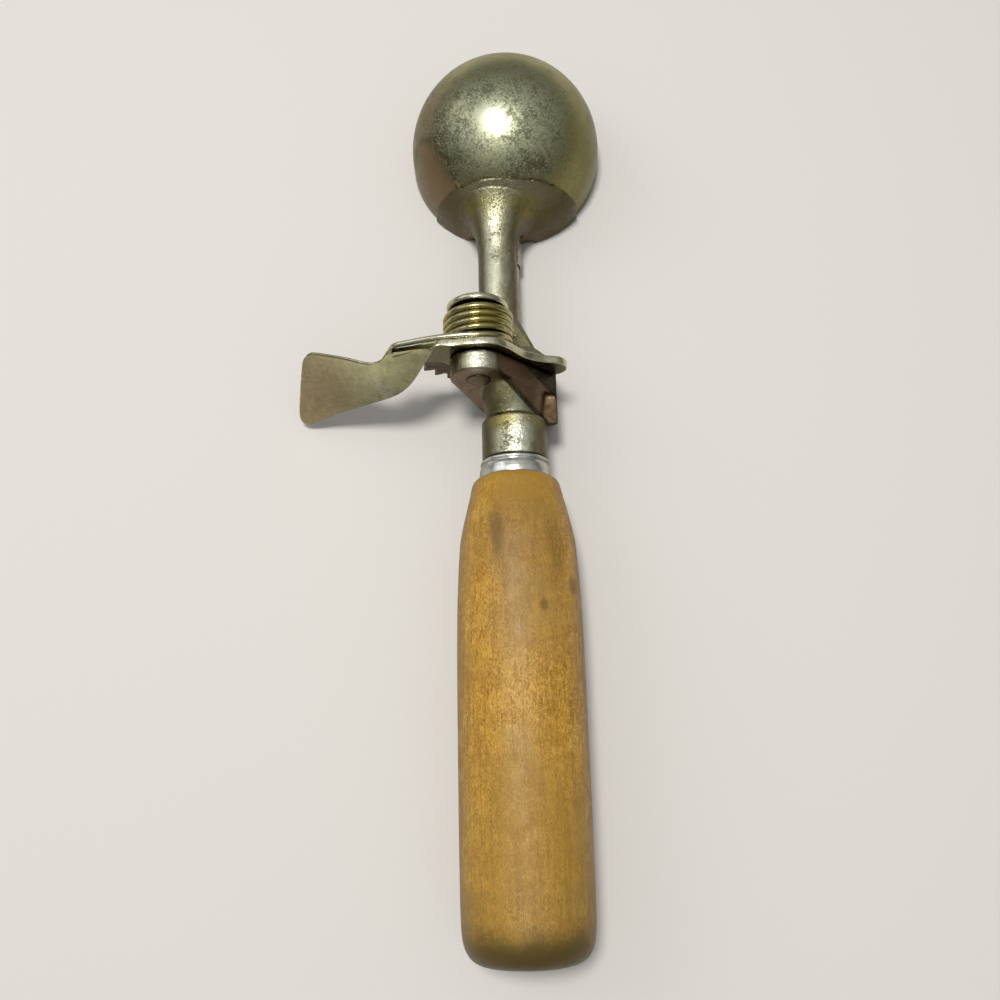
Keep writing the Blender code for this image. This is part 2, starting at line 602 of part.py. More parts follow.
def pad_place():
    """The pad's own plane: x along its length to the left, y down its face, z out of its front."""
    root = Matrix.Translation((PAD_ROOT[0], LEVER_Y + PAD_ROOT_SETBACK, PIVOT_Z + PAD_ROOT[1]))
    yaw = math.radians(PAD_YAW)
    tilt = math.radians(PAD_TILT)
    along = Vector((-math.cos(yaw), math.sin(yaw), 0))
    down = Vector((-math.sin(yaw) * math.cos(tilt), -math.cos(yaw) * math.cos(tilt), -math.sin(tilt)))
    out = along.cross(down)
    turn = Matrix((along, down, out)).transposed().to_4x4()
    return root @ turn


def make_pad(cutters):
    edge = rounded(PAD_FRONT_EDGE + PAD_LEFT_EDGE + PAD_REAR_EDGE, 4)
    outline = [(0.0, 0.0)] + [(x * MM, y * MM) for x, y in edge]
    return flat_plate("pad", cutters, outline, PAD_THICKNESS, pad_place())


def rivet_places():
    for angle in (220, 320):
        yield (PIVOT_OFFSET + RIVET_CIRCLE * math.cos(math.radians(angle)),
               PIVOT_Z + RIVET_CIRCLE * math.sin(math.radians(angle)))


def rivet_set(collection, radius, low, high):
    return [cylinder("rivet", collection, radius, low, high, x, z, 14) for x, z in rivet_places()]


def make_sector(parts, cutters):
    """Toothed sector riveted behind the lever's hub. One tooth points at the pinion at rest."""
    tip = SECTOR_PITCH + ADDENDUM
    root = CENTRE_DISTANCE - (PINION_PITCH + ADDENDUM) - ROOT_CLEARANCE
    step = 2 * math.pi / SECTOR_TEETH
    right_end = math.radians(-90 + SECTOR_RIGHT)
    left_end = math.radians(-90 - SECTOR_LEFT)
    middles = [MESH_ANGLE + i * step for i in range(-SECTOR_TEETH // 2, SECTOR_TEETH // 2)]
    inside = sorted((m for m in middles if left_end < m < right_end), reverse=True)
    outline = arc((0, 0), HUB_RADIUS - 0.5 * MM, 200, -20, 16)
    for middle in inside:
        outline += tooth(SECTOR_TEETH, SECTOR_PITCH, tip, root, middle)[::-1]
    place = upright_plate(PIVOT_OFFSET, SECTOR_Y + SECTOR_THICKNESS / 2, PIVOT_Z)
    sector = flat_plate("gear_sector", parts, outline, SECTOR_THICKNESS, place)
    bore = cylinder("sector_bore", cutters, STUD_RADIUS + RUNNING_GAP, LEVER_Y, WASHER_Y + 2 * MM,
                    PIVOT_OFFSET, PIVOT_Z)
    return cut_all(sector, [bore] + rivet_set(cutters, RIVET_RADIUS + GAP, LEVER_Y, WASHER_Y + 2 * MM))


def make_rivets(parts):
    """Two flush rivets that hold the sector to the lever."""
    low = LEVER_Y + 0.05 * MM
    high = SECTOR_Y + SECTOR_THICKNESS - 0.05 * MM
    rivets = rivet_set(parts, RIVET_RADIUS, low, high)
    for side, rivet in zip(("left", "right"), rivets):
        rivet.name = "sector_rivet_" + side
    return rivets


def make_pinion(parts, cutters):
    """Small gear on the square of the shaft. A gap between teeth faces the sector at rest."""
    tip = PINION_PITCH + ADDENDUM
    root = CENTRE_DISTANCE - (SECTOR_PITCH + ADDENDUM) - ROOT_CLEARANCE
    step = 2 * math.pi / PINION_TEETH
    towards_pivot = MESH_ANGLE + math.pi
    outline = []
    for i in range(PINION_TEETH):
        outline += tooth(PINION_TEETH, PINION_PITCH, tip, root, towards_pivot + (i + 0.5) * step)
    low = LEVER_Y + 0.1 * MM
    high = SLOT_END_Y - GAP
    place = upright_plate(0, (low + high) / 2, SHAFT_Z)
    pinion = flat_plate("pinion", parts, outline, high - low, place)
    bore = cylinder("square_bore", cutters, (SQUARE_SIDE + 2 * GAP) / math.sqrt(2), low - 1 * MM, high + 1 * MM,
                    0, SHAFT_Z, 4, math.pi / 4)
    return combine(pinion, bore, "DIFFERENCE")


def make_shaft(parts, cutters):
    """Sweep shaft: journal, square for the pinion, round rod and a nose peened over the blade."""
    journal_y = BOSS_Y - WALL_BACK + 2 * MM + GAP
    rod_y = SLOT_END_Y + 0.1 * MM
    rod_end = BOWL_Y - BLADE_RADIUS - GAP
    blade_inside = BOWL_Y - BLADE_RADIUS + BLADE_THICKNESS + GAP
    profile = [(0.0, blade_inside + PEEN_HEIGHT), (PEEN_RADIUS * 0.7, blade_inside + PEEN_HEIGHT),
               (PEEN_RADIUS, blade_inside + PEEN_HEIGHT * 0.5), (PEEN_RADIUS, blade_inside),
               (NOSE_RADIUS, blade_inside), (NOSE_RADIUS, rod_end), (SHAFT_RADIUS, rod_end),
               (SHAFT_RADIUS, rod_y), (JOURNAL_RADIUS, rod_y), (JOURNAL_RADIUS, journal_y), (0.0, journal_y)]
    shaft = turned("scraper_shaft", parts, profile, along_y(0, 0, SHAFT_Z), 24)
    square = cylinder("square", cutters, SQUARE_SIDE / math.sqrt(2), BOSS_END_Y + GAP, rod_y + 0.5 * MM,
                      0, SHAFT_Z, 4, math.pi / 4)
    return combine(shaft, square, "UNION")


def make_bearing(parts):
    """Plain tube that carries the shaft where it enters the bowl."""
    inner = SHAFT_RADIUS + RUNNING_GAP
    low = BEARING_Y
    high = BOWL_Y - BOWL_RADIUS - GAP
    profile = [(inner, high), (BEARING_RADIUS, high), (BEARING_RADIUS, low + 0.4 * MM),
               (BEARING_RADIUS - 0.4 * MM, low), (inner, low)]
    return turned("shaft_bearing", parts, profile, along_y(0, 0, SHAFT_Z), ROUND_STEPS)


def make_blade(parts, cutters):
    """Sweep blade: a band that follows the bowl's inside from the shaft round to the far pin."""
    bm = bmesh.new()
    along_steps = 30
    bmesh.ops.create_grid(bm, x_segments=along_steps, y_segments=4, size=0.5)
    tab = BLADE_TAB_WIDTH / 2
    length = math.pi * BLADE_RADIUS + 2 * tab
    for vert in bm.verts:
        s = (vert.co.x + 0.5) * length
        from_end = min(s, length - s)
        arch = math.sin(math.pi * s / length)
        half = tab + (BLADE_WIDTH - BLADE_TAB_WIDTH) / 2 * min(1.0, 1.6 * arch)
        if from_end < tab:
            half = max(0.35 * tab, math.sqrt(tab ** 2 - (tab - from_end) ** 2))
        around = (s - tab) / BLADE_RADIUS
        place = Vector((-math.sin(around), -math.cos(around), 2 * vert.co.y * half / BLADE_RADIUS))
        vert.co = Vector((0, BOWL_Y, SHAFT_Z)) + BLADE_RADIUS * place.normalized()
    bmesh.ops.recalc_face_normals(bm, faces=bm.faces)
    mesh = bpy.data.meshes.new("scraper_blade")
    bm.to_mesh(mesh)
    bm.free()
    middle = Vector((0, BOWL_Y, SHAFT_Z))
    outward = mesh.polygons[0].normal.dot(mesh.polygons[0].center - middle) > 0
    if not outward:
        mesh.flip_normals()
    blade = bpy.data.objects.new("scraper_blade", mesh)
    parts.objects.link(blade)
    solidify = blade.modifiers.new("Solidify", "SOLIDIFY")
    solidify.thickness = BLADE_THICKNESS
    solidify.offset = -1.0
    solidify.use_even_offset = True
    blade = bake(blade)
    holes = [cylinder("near_hole", cutters, NOSE_RADIUS + GAP, BOWL_Y - BOWL_RADIUS, BOWL_Y - BLADE_RADIUS * 0.8,
                      0, SHAFT_Z, 16),
             cylinder("far_hole", cutters, NOSE_RADIUS + GAP, BOWL_Y + BLADE_RADIUS * 0.8, BOWL_Y + BOWL_RADIUS,
                      0, SHAFT_Z, 16)]
    return cut_all(blade, holes)


def make_blade_pin(parts):
    """Pin through the bowl's far wall, on which the blade's far end turns."""
    inner_face = BOWL_Y + BLADE_RADIUS - BLADE_THICKNESS - GAP
    outer_face = BOWL_Y + BOWL_RADIUS + GAP
    profile = [(0.0, outer_face + PEEN_HEIGHT), (PEEN_RADIUS * 0.6, outer_face + PEEN_HEIGHT),
               (PEEN_RADIUS, outer_face + PEEN_HEIGHT * 0.4), (PEEN_RADIUS, outer_face),
               (NOSE_RADIUS, outer_face), (NOSE_RADIUS, inner_face), (PEEN_RADIUS, inner_face),
               (PEEN_RADIUS * 0.8, inner_face - PEEN_HEIGHT), (0.0, inner_face - PEEN_HEIGHT)]
    return turned("blade_pivot_pin", parts, profile, along_y(0, 0, SHAFT_Z), 20)


def make_stud(parts):
    """Pivot stud, riveted in the boss and headed over the spring's cap."""
    head = STUD_END_Y + STUD_HEAD_HEIGHT
    low = BOSS_Y - STUD_FRONT
    profile = [(0.0, head), (STUD_HEAD_RADIUS * 0.75, head), (STUD_HEAD_RADIUS, head - STUD_HEAD_HEIGHT * 0.5),
               (STUD_HEAD_RADIUS, STUD_END_Y), (STUD_RADIUS, STUD_END_Y), (STUD_RADIUS, low), (0.0, low)]
    return turned("pivot_stud", parts, profile, along_y(PIVOT_OFFSET, 0, PIVOT_Z), 24)


def stud_ring(name, parts, radius, low, high, chamfer):
    """A round piece threaded on the stud."""
    inner = STUD_RADIUS + GAP
    profile = [(inner, high), (radius - chamfer, high), (radius, high - chamfer), (radius, low + chamfer),
               (radius - chamfer, low), (inner, low)]
    return turned(name, parts, profile, along_y(PIVOT_OFFSET, 0, PIVOT_Z), ROUND_STEPS)


def spring_points():
    """Path of the wire: hook over the arm, leg along its top edge, coil, and a leg into the shank."""
    arm_x, arm_up = PAD_ROOT
    top = PIVOT_Z + COIL_RADIUS
    hook = Vector((arm_x - 1.2 * MM, LEVER_Y - 0.7 * MM, PIVOT_Z + arm_up - 0.5 * MM))
    bend = Vector((arm_x - 0.9 * MM, LEVER_Y + 0.6 * MM, PIVOT_Z + arm_up + 1.5 * MM))
    over = Vector((arm_x + 0.9 * MM, LEVER_Y + LEVER_THICKNESS + 1.0 * MM, PIVOT_Z + arm_up + 2.3 * MM))
    points = [hook, bend, over]
    start = Vector((PIVOT_OFFSET, COIL_Y, top))
    points += [over.lerp(start, share) for share in (0.2, 0.5, 0.8)]
    count = round(COIL_TURNS * POINTS_PER_TURN)
    for i in range(count + 1):
        turn = COIL_TURNS * i / count
        angle = math.pi / 2 - 2 * math.pi * turn
        points.append(Vector((PIVOT_OFFSET + COIL_RADIUS * math.cos(angle), COIL_Y + COIL_PITCH * turn,
                              PIVOT_Z + COIL_RADIUS * math.sin(angle))))
    leg_x, leg_y = fixed_leg_place()
    leg_end = SHANK_Z + SHANK_RADIUS * 0.3
    points.append(Vector((leg_x, leg_y, (PIVOT_Z + leg_end) / 2)))
    points.append(Vector((leg_x, leg_y, leg_end)))
    return points


def least_spring_gap(points):
    """Least free space between stretches of the wire that aren't next to each other."""
    fine = []
    for a, b in zip(points, points[1:]):
        steps = max(1, round((b - a).length / (0.5 * MM)))
        fine += [a.lerp(b, i / steps) for i in range(steps)]
    apart = round(3.0 * WIRE / (0.5 * MM))
    least = min((fine[i] - fine[j]).length for i in range(len(fine)) for j in range(i + apart, len(fine)))
    return least - WIRE


def make_spring(parts):
    points = spring_points()
    print("least gap between the spring's turns, mm:", round(least_spring_gap(points) / MM, 3))
    curve = bpy.data.curves.new("return_spring", "CURVE")
    curve.dimensions = "3D"
    curve.bevel_depth = WIRE / 2
    curve.bevel_resolution = 1
    curve.use_fill_caps = True
    curve.twist_mode = "MINIMUM"
    spline = curve.splines.new("POLY")
    spline.points.add(len(points) - 1)
    for point, place in zip(spline.points, points):
        point.co = (*place, 1.0)
    obj = bpy.data.objects.new("return_spring", curve)
    parts.objects.link(obj)
    return weld(bake(obj))


def set_origin(obj, place):
    """Moves an object's origin to a place, such as its joint's axis, without moving its shape."""
    obj.data.transform(Matrix.Translation(-Vector(place)))
    obj.location = place


def finish(obj, finish_material):
    obj.data.materials.clear()
    obj.data.materials.append(finish_material)
    obj.data.shade_smooth()
    obj.data.set_sharp_from_angle(angle=math.radians(35))


def main():
    clear_scene()
    parts = new_collection("ice_cream_scoop")
    cutters = new_collection("cutters")
    wood = material("maple", (0.56, 0.36, 0.15), 0.55, 0.0)
    plate = material("aged_plate", (0.50, 0.49, 0.40), 0.38, 1.0)
    nickel = material("nickel", (0.56, 0.53, 0.38), 0.32, 1.0)
    steel = material("bright_steel", (0.60, 0.61, 0.60), 0.28, 1.0)
    spring_steel = material("spring_steel", (0.40, 0.37, 0.22), 0.35, 1.0)

    fixed = {
        plate: [make_frame(parts, cutters), make_bowl(parts, cutters)],
        wood: [make_handle(parts)],
        steel: [make_ferrule(parts), make_stud(parts), make_bearing(parts), make_blade_pin(parts),
                stud_ring("spring_washer", parts, WASHER_RADIUS, WASHER_Y, WASHER_Y + WASHER_THICKNESS, 0.15 * MM)],
        spring_steel: [make_spring(parts),
                       stud_ring("spring_sleeve", parts, SLEEVE_RADIUS, SLEEVE_Y, CAP_Y - GAP, 0.3 * MM),
                       stud_ring("stud_cap", parts, CAP_RADIUS, CAP_Y, CAP_Y + CAP_THICKNESS, 0.4 * MM)],
    }
    on_lever = {
        nickel: [make_lever(parts, cutters), make_sector(parts, cutters)],
        steel: make_rivets(parts),
    }
    on_scraper = {
        steel: [make_shaft(parts, cutters), make_pinion(parts, cutters)],
        plate: [make_blade(parts, cutters)],
    }
    lever_axis = (PIVOT_OFFSET, LEVER_Y, PIVOT_Z)
    scraper_axis = (0.0, BOWL_Y, SHAFT_Z)
    for group, axis in ((fixed, (0.0, 0.0, 0.0)), (on_lever, lever_axis), (on_scraper, scraper_axis)):
        for finish_material, objects in group.items():
            for obj in objects:
                set_origin(obj, axis)
                finish(obj, finish_material)
    bpy.context.view_layer.update()
    print("lever axis, mm:", [round(v / MM, 3) for v in lever_axis])
    print("scraper axis, mm:", [round(v / MM, 3) for v in scraper_axis])
    print("sweep of the blade, degrees:", LEVER_TRAVEL * SECTOR_TEETH / PINION_TEETH)


main()
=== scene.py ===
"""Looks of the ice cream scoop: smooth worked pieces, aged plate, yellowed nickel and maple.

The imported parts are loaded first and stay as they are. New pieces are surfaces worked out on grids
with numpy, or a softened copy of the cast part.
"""

import math

import bmesh
import bpy
import numpy as np
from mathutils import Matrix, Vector


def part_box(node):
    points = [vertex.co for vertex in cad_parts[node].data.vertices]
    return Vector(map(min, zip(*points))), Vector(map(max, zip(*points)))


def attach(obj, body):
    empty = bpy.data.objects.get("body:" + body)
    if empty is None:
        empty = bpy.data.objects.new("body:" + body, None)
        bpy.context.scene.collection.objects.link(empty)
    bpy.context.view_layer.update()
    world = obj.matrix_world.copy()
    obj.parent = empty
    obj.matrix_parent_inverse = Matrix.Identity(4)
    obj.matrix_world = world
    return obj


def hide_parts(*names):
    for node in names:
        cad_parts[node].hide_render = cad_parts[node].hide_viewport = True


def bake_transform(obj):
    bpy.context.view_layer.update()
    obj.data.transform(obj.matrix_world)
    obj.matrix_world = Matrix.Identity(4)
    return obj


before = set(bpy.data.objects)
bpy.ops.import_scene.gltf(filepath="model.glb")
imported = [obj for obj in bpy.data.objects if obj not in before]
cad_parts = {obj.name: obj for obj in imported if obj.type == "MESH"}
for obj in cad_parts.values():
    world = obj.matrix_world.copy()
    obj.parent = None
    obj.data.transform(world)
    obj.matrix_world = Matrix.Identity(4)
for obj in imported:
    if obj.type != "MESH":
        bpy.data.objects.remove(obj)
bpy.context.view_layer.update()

MM = 0.001

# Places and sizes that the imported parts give, in mm
HANDLE_LENGTH = 121.3
HANDLE_RADIUS = 16.7
RIM_Z = -16.7
SHAFT_Z = -10.1
PIVOT_X = -9.5
PIVOT_Z = 11.482
BOWL_Y = 235.0
BOWL_RADIUS = 29.3
BOWL_WALL = 0.9
NECK_RADIUS = 9.05
SHANK_RADIUS = 5.75
SHANK_X = -3.45
SHANK_Z = -3.3
SOCKET_RADIUS = 31.1
SOCKET_INNER = 29.6
BOSS_FACE_Y = 147.12

# Sizes that only the looks have, in mm
SOCKET_DRAWN = 0.85  # how far the socket's outer face is drawn in towards the bowl
FUNNEL_REACH = 40.0  # distance from the bowl's middle at which that drawing-in ends
BOSS_ARM_BACK_Y = 150.6
BOSS_ARM_RADIUS = 7.75  # of the flat arm's top, round the boss
STUD_PROUD = 0.15  # how far the stud's end stands out of its packed place
FUNNEL_X = -2.0
FILLET_START_Y = 197.0  # the funnel is smoothed between these two places
FILLET_END_Y = 210.6
FILLET_ACROSS = 17.0  # and within this distance of its line
FILLET_ROUNDS = 160

# Directions
UP = (0.0, 0.0, 1.0)
FRONT = (0.0, -1.0, 0.0)
BACK = (0.0, 1.0, 0.0)
LEFT = (-1.0, 0.0, 0.0)
RIGHT = (1.0, 0.0, 0.0)


# Meshes

def placed(name, data):
    """A new object at the origin, linked to the scene."""
    obj = bpy.data.objects.new(name, data)
    bpy.context.scene.collection.objects.link(obj)
    return obj


def make_object(name, mesh, smooth_angle=35):
    """An object at the origin, with smooth shading and sharp creases above the angle."""
    obj = placed(name, mesh)
    mesh.shade_smooth()
    mesh.set_sharp_from_angle(angle=math.radians(smooth_angle))
    return obj


def grid_object(name, points, round_u=True, round_v=False, smooth_angle=35):
    """A surface from an array of points (rows, columns, xyz) in mm, wrapped round where asked.

    Face (i, j) joins row i to row i + 1 and column j to column j + 1. Corners at one place, as at
    a pole, are merged, and the normals are then turned outwards.
    """
    rows, columns = points.shape[:2]
    index = np.arange(rows * columns).reshape(rows, columns)
    if round_u:
        index = np.concatenate([index, index[:1]], axis=0)
    if round_v:
        index = np.concatenate([index, index[:, :1]], axis=1)
    faces = np.stack([index[:-1, :-1], index[1:, :-1], index[1:, 1:], index[:-1, 1:]], axis=-1).reshape(-1, 4)
    mesh = bpy.data.meshes.new(name)
    mesh.from_pydata((points.reshape(-1, 3) * MM).tolist(), [], faces.tolist())
    tidy = bmesh.new()
    tidy.from_mesh(mesh)
    bmesh.ops.remove_doubles(tidy, verts=tidy.verts, dist=1e-7)
    bmesh.ops.recalc_face_normals(tidy, faces=tidy.faces)
    if tidy.calc_volume(signed=True) < 0:
        bmesh.ops.reverse_faces(tidy, faces=tidy.faces)
    tidy.to_mesh(mesh)
    tidy.free()
    return make_object(name, mesh, smooth_angle)


def resampled(profile, spacing):
    """The profile's line of (radius, along) points, filled in so that no step is over the spacing."""
    line = [np.asarray(profile[0], float)]
    for point in profile[1:]:
        point = np.asarray(point, float)
        steps = max(1, int(np.ceil(np.linalg.norm(point - line[-1]) / spacing)))
        start = line[-1]
        line += [start + (point - start) * i / steps for i in range(1, steps + 1)]
    return np.array(line)


def rounded_corners(profile, radius, steps=4):
    """The line with each inner corner replaced by a short arc (a quadratic curve through the corner)."""
    points = [np.asarray(p, float) for p in profile]
    line = [points[0]]
    for before, corner, after in zip(points, points[1:], points[2:]):
        a = before - corner
        b = after - corner
        reach = min(radius, 0.45 * np.linalg.norm(a), 0.45 * np.linalg.norm(b))
        start = corner + a / np.linalg.norm(a) * reach
        end = corner + b / np.linalg.norm(b) * reach
        t = np.linspace(0, 1, steps + 1)[:, None]
        line += list((1 - t) ** 2 * start + 2 * t * (1 - t) * corner + t ** 2 * end)
    return line + [points[-1]]


def turned(name, profile, centre=(0.0, 0.0), sides=96, ripple=None, smooth_angle=35):
    """A profile of (radius, y) turned round a line along Y through centre (x, z), all in mm.

    Point = (x + r cos a, y, z + r sin a), where a ripple function may add to r at each a and y.
    """
    line = np.array(profile, float)
    angle = np.linspace(0, 2 * np.pi, sides, endpoint=False)[:, None]
    radius = np.repeat(line[None, :, 0], sides, axis=0)
    along = np.repeat(line[None, :, 1], sides, axis=0)
    if ripple is not None:
        radius = np.where(radius > 1e-6, radius + ripple(angle, along), radius)
    across = centre[0] + radius * np.cos(angle)
    up = centre[1] + radius * np.sin(angle)
    return grid_object(name, np.stack([across, along, up], axis=-1), smooth_angle=smooth_angle)


def smooth_path(points, step):
    """A smooth cubic curve through the points, in steps of about the given length.

    At each point it runs along the line that joins the two points beside it.
    """
    p = np.asarray(points, float)
    p = np.concatenate([2 * p[:1] - p[1:2], p, 2 * p[-1:] - p[-2:-1]])
    line = []
    for i in range(1, len(p) - 2):
        count = max(2, int(np.ceil(np.linalg.norm(p[i + 1] - p[i]) / step)))
        t = np.linspace(0, 1, count, endpoint=False)[:, None]
        a, b, c, d = p[i - 1], p[i], p[i + 1], p[i + 2]
        line.append(0.5 * (2 * b + (c - a) * t + (2 * a - 5 * b + 4 * c - d) * t ** 2
                           + (3 * b - a - 3 * c + d) * t ** 3))
    return np.concatenate(line + [p[-2:-1]])


def tube(name, path, radius, sides=16):
    """A round wire along a path in mm, with domed ends; the radius is given at each point.

    Each ring lies across the path's direction. Its first spoke is carried along with the least
    twist: the last spoke less its share along the new direction, made unit length again.
    """
    along = np.gradient(path, axis=0)
    along /= np.linalg.norm(along, axis=1)[:, None]
    spoke = np.cross(along[0], (0.3, 0.2, 0.93))
    spokes = []
    for direction in along:
        spoke = spoke - direction * (spoke @ direction)
        spoke = spoke / np.linalg.norm(spoke)
        spokes.append(spoke)
    spokes = np.array(spokes)
    others = np.cross(along, spokes)
    dome = np.sin(np.linspace(0, np.pi / 2, 5))
    reach = np.cos(np.linspace(0, np.pi / 2, 5))[:, None]
    start = path[:1] - along[:1] * radius[0] * reach[:-1]
    end = path[-1:] + along[-1:] * radius[-1] * reach[::-1][1:]
    rings = np.concatenate([start, path, end])
    size = np.concatenate([radius[0] * dome[:-1], radius, radius[-1] * dome[::-1][1:]])
    spokes = np.concatenate([np.repeat(spokes[:1], 4, 0), spokes, np.repeat(spokes[-1:], 4, 0)])
    others = np.concatenate([np.repeat(others[:1], 4, 0), others, np.repeat(others[-1:], 4, 0)])
    angle = np.linspace(0, 2 * np.pi, sides, endpoint=False)[:, None, None]
    points = rings[None] + size[None, :, None] * (np.cos(angle) * spokes[None] + np.sin(angle) * others[None])
    return grid_object(name, points, smooth_angle=60)


def relaxed(mesh, places, share, rounds):
    """Moves each vertex towards the middle of its neighbours by its share, over and over."""
    pairs = np.empty(len(mesh.edges) * 2, np.int32)
    mesh.edges.foreach_get("vertices", pairs)
    first, second = pairs.reshape(-1, 2).T
    count = len(places)
    near = np.bincount(first, minlength=count) + np.bincount(second, minlength=count)
    moving = share(places)[:, None]
    for _ in range(rounds):
        total = np.stack([np.bincount(first, places[second, k], count)
                          + np.bincount(second, places[first, k], count) for k in range(3)], axis=1)
        places = places + moving * (total / np.maximum(near, 1)[:, None] - places)
    return places


def softened(name, node, added, voxel, rounds, start_y, blend, snap):
    """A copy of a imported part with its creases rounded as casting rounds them.

    The copy's corners are merged, the added object is joined to it, it is remeshed in cubes of the
    voxel size in mm, and each vertex is moved halfway to the middle of its neighbours a number of
    times. What lies before start_y is cut off. blend gives the share by which each vertex is
    relaxed further, and snap puts rounds back on their true radius.
    """
    source = placed(name + "_source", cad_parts[node].data.copy())
    tidy = bmesh.new()
    tidy.from_mesh(source.data)
    bmesh.ops.remove_doubles(tidy, verts=tidy.verts, dist=1e-6)
    tidy.from_mesh(added.data)
    bpy.data.objects.remove(added)
    tidy.to_mesh(source.data)
    tidy.free()
    remesh = source.modifiers.new("Remesh", "REMESH")
    remesh.mode = "VOXEL"
    remesh.voxel_size = voxel * MM
    remesh.use_smooth_shade = True
    relax = source.modifiers.new("Relax", "SMOOTH")
    relax.factor = 0.5
    relax.iterations = rounds
    bpy.context.view_layer.update()
    mesh = bpy.data.meshes.new_from_object(source.evaluated_get(bpy.context.evaluated_depsgraph_get()))
    bpy.data.objects.remove(source)
    mesh.name = name
    cut = bmesh.new()
    cut.from_mesh(mesh)
    everything = cut.verts[:] + cut.edges[:] + cut.faces[:]
    bmesh.ops.bisect_plane(cut, geom=everything, plane_co=(0, start_y * MM, 0), plane_no=BACK,
                           clear_inner=True)
    bmesh.ops.holes_fill(cut, edges=cut.edges)
    bmesh.ops.recalc_face_normals(cut, faces=cut.faces)
    cut.to_mesh(mesh)
    cut.free()
    places = np.empty(len(mesh.vertices) * 3, np.float32)
    mesh.vertices.foreach_get("co", places)
    places = relaxed(mesh, places.reshape(-1, 3).astype(float) / MM, blend, FILLET_ROUNDS)
    mesh.vertices.foreach_set("co", (snap(places) * MM).astype(np.float32).ravel())
    mesh.update()
    mesh.materials.clear()
    return make_object(name, mesh, 60)


# Materials

class Shader:
    """Small helper that adds nodes to a tree and links them."""

    def __init__(self, tree):
        self.tree = tree

    def node(self, kind, values=None, **settings):
        made = self.tree.nodes.new(kind)
        for key, value in settings.items():
            setattr(made, key, value)
        for key, value in (values or {}).items():
            socket = made.inputs[key]
            if isinstance(value, bpy.types.NodeSocket):
                self.tree.links.new(value, socket)
            else:
                socket.default_value = value
        return made

    def math(self, operation, first, second, clamp=False):
        made = self.node("ShaderNodeMath", {0: first, 1: second}, operation=operation, use_clamp=clamp)
        return made.outputs[0]

    def times(self, first, second, clamp=False):
        return self.math("MULTIPLY", first, second, clamp)

    def plus(self, first, second, clamp=False):
        return self.math("ADD", first, second, clamp)

    def minus(self, first, second, clamp=False):
        return self.math("SUBTRACT", first, second, clamp)

    def vector(self, operation, *values):
        made = self.node("ShaderNodeVectorMath", dict(enumerate(values)), operation=operation)
        return made.outputs["Value" if operation in ("LENGTH", "DOT_PRODUCT") else "Vector"]

    def mix(self, share, first, second):
        first, second = ((*c, 1.0) if isinstance(c, tuple) else c for c in (first, second))
        return self.node("ShaderNodeMix", {0: share, 6: first, 7: second}, data_type="RGBA").outputs[2]

    def stain(self, colour, tint, mask, strength):
        """The colour with a tint laid over it where the mask is."""
        return self.mix(self.times(mask, strength), colour, tint)

    def spread(self, value, low, high, to_low=0.0, to_high=1.0, smooth=True):
        made = self.node("ShaderNodeMapRange", {0: value, 1: low, 2: high, 3: to_low, 4: to_high})
        made.interpolation_type = "SMOOTHSTEP" if smooth else "LINEAR"
        return made.outputs[0]

    def noise(self, vector, scale, detail=2.0, rough=0.55, warp=0.0):
        made = self.node("ShaderNodeTexNoise", {"Vector": vector, "Scale": scale, "Detail": detail,
                                                "Roughness": rough, "Distortion": warp})
        return made.outputs["Fac"]


def new_group(name, inputs, outputs):
    """An empty shader group with its sockets, each given as (name, kind, default)."""
    group = bpy.data.node_groups.new(name, "ShaderNodeTree")
    for label, kind, default in inputs:
        socket = group.interface.new_socket(label, in_out="INPUT", socket_type="NodeSocket" + kind)
        if default is not None:
            socket.default_value = default
    for label, kind in outputs:
        group.interface.new_socket(label, in_out="OUTPUT", socket_type="NodeSocket" + kind)
    shader = Shader(group)
    entry = shader.node("NodeGroupInput")
    end = shader.node("NodeGroupOutput")
    return shader, entry.outputs, end.inputs


def pitting_group():
    """Fine dark pits that gather in clouds: noise at pit size, let through where a wide noise is high."""
    shader, given, out = new_group("pitting", [
        ("Vector", "Vector", None), ("Pit Scale", "Float", 1500.0), ("Cloud Scale", "Float", 70.0),
        ("Cover", "Float", 0.5), ("Contrast", "Float", 1.0)], [("Mask", "Float"), ("Height", "Float")])
    fine = shader.noise(given["Vector"], given["Pit Scale"], 4.0, 0.68, 0.4)
    cloud = shader.noise(given["Vector"], given["Cloud Scale"], 3.0, 0.55, 0.3)
    lifted = shader.plus(fine, shader.times(shader.minus(cloud, 0.5), given["Contrast"]))
    start = shader.minus(0.78, shader.times(given["Cover"], 0.5))
    mask = shader.spread(lifted, start, shader.plus(start, 0.22), smooth=False)
    shader.tree.links.new(mask, out["Mask"])
    shader.tree.links.new(shader.minus(shader.times(fine, 0.4), mask), out["Height"])
    return shader.tree


def patch_group():
    """A patch with a ragged edge: one inside an egg-shaped space round a centre, nought outside it."""
    shader, given, out = new_group("patch", [
        ("Vector", "Vector", None), ("Centre", "Vector", (0.0, 0.0, 0.0)),
        ("Reach", "Vector", (1.0, 1.0, 1.0)), ("Soft", "Float", 0.3), ("Rag", "Float", 0.5),
        ("Rag Scale", "Float", 160.0)], [("Mask", "Float")])
    away = shader.vector("SUBTRACT", given["Vector"], given["Centre"])
    far = shader.vector("LENGTH", shader.vector("DIVIDE", away, given["Reach"]))
    ragged = shader.noise(given["Vector"], given["Rag Scale"], 4.0, 0.6)
    far = shader.plus(far, shader.times(shader.minus(ragged, 0.5), given["Rag"]))
    inside = shader.spread(far, shader.minus(1.0, given["Soft"]), shader.plus(1.0, given["Soft"]), 1.0, 0.0)
    shader.tree.links.new(inside, out["Mask"])
    return shader.tree


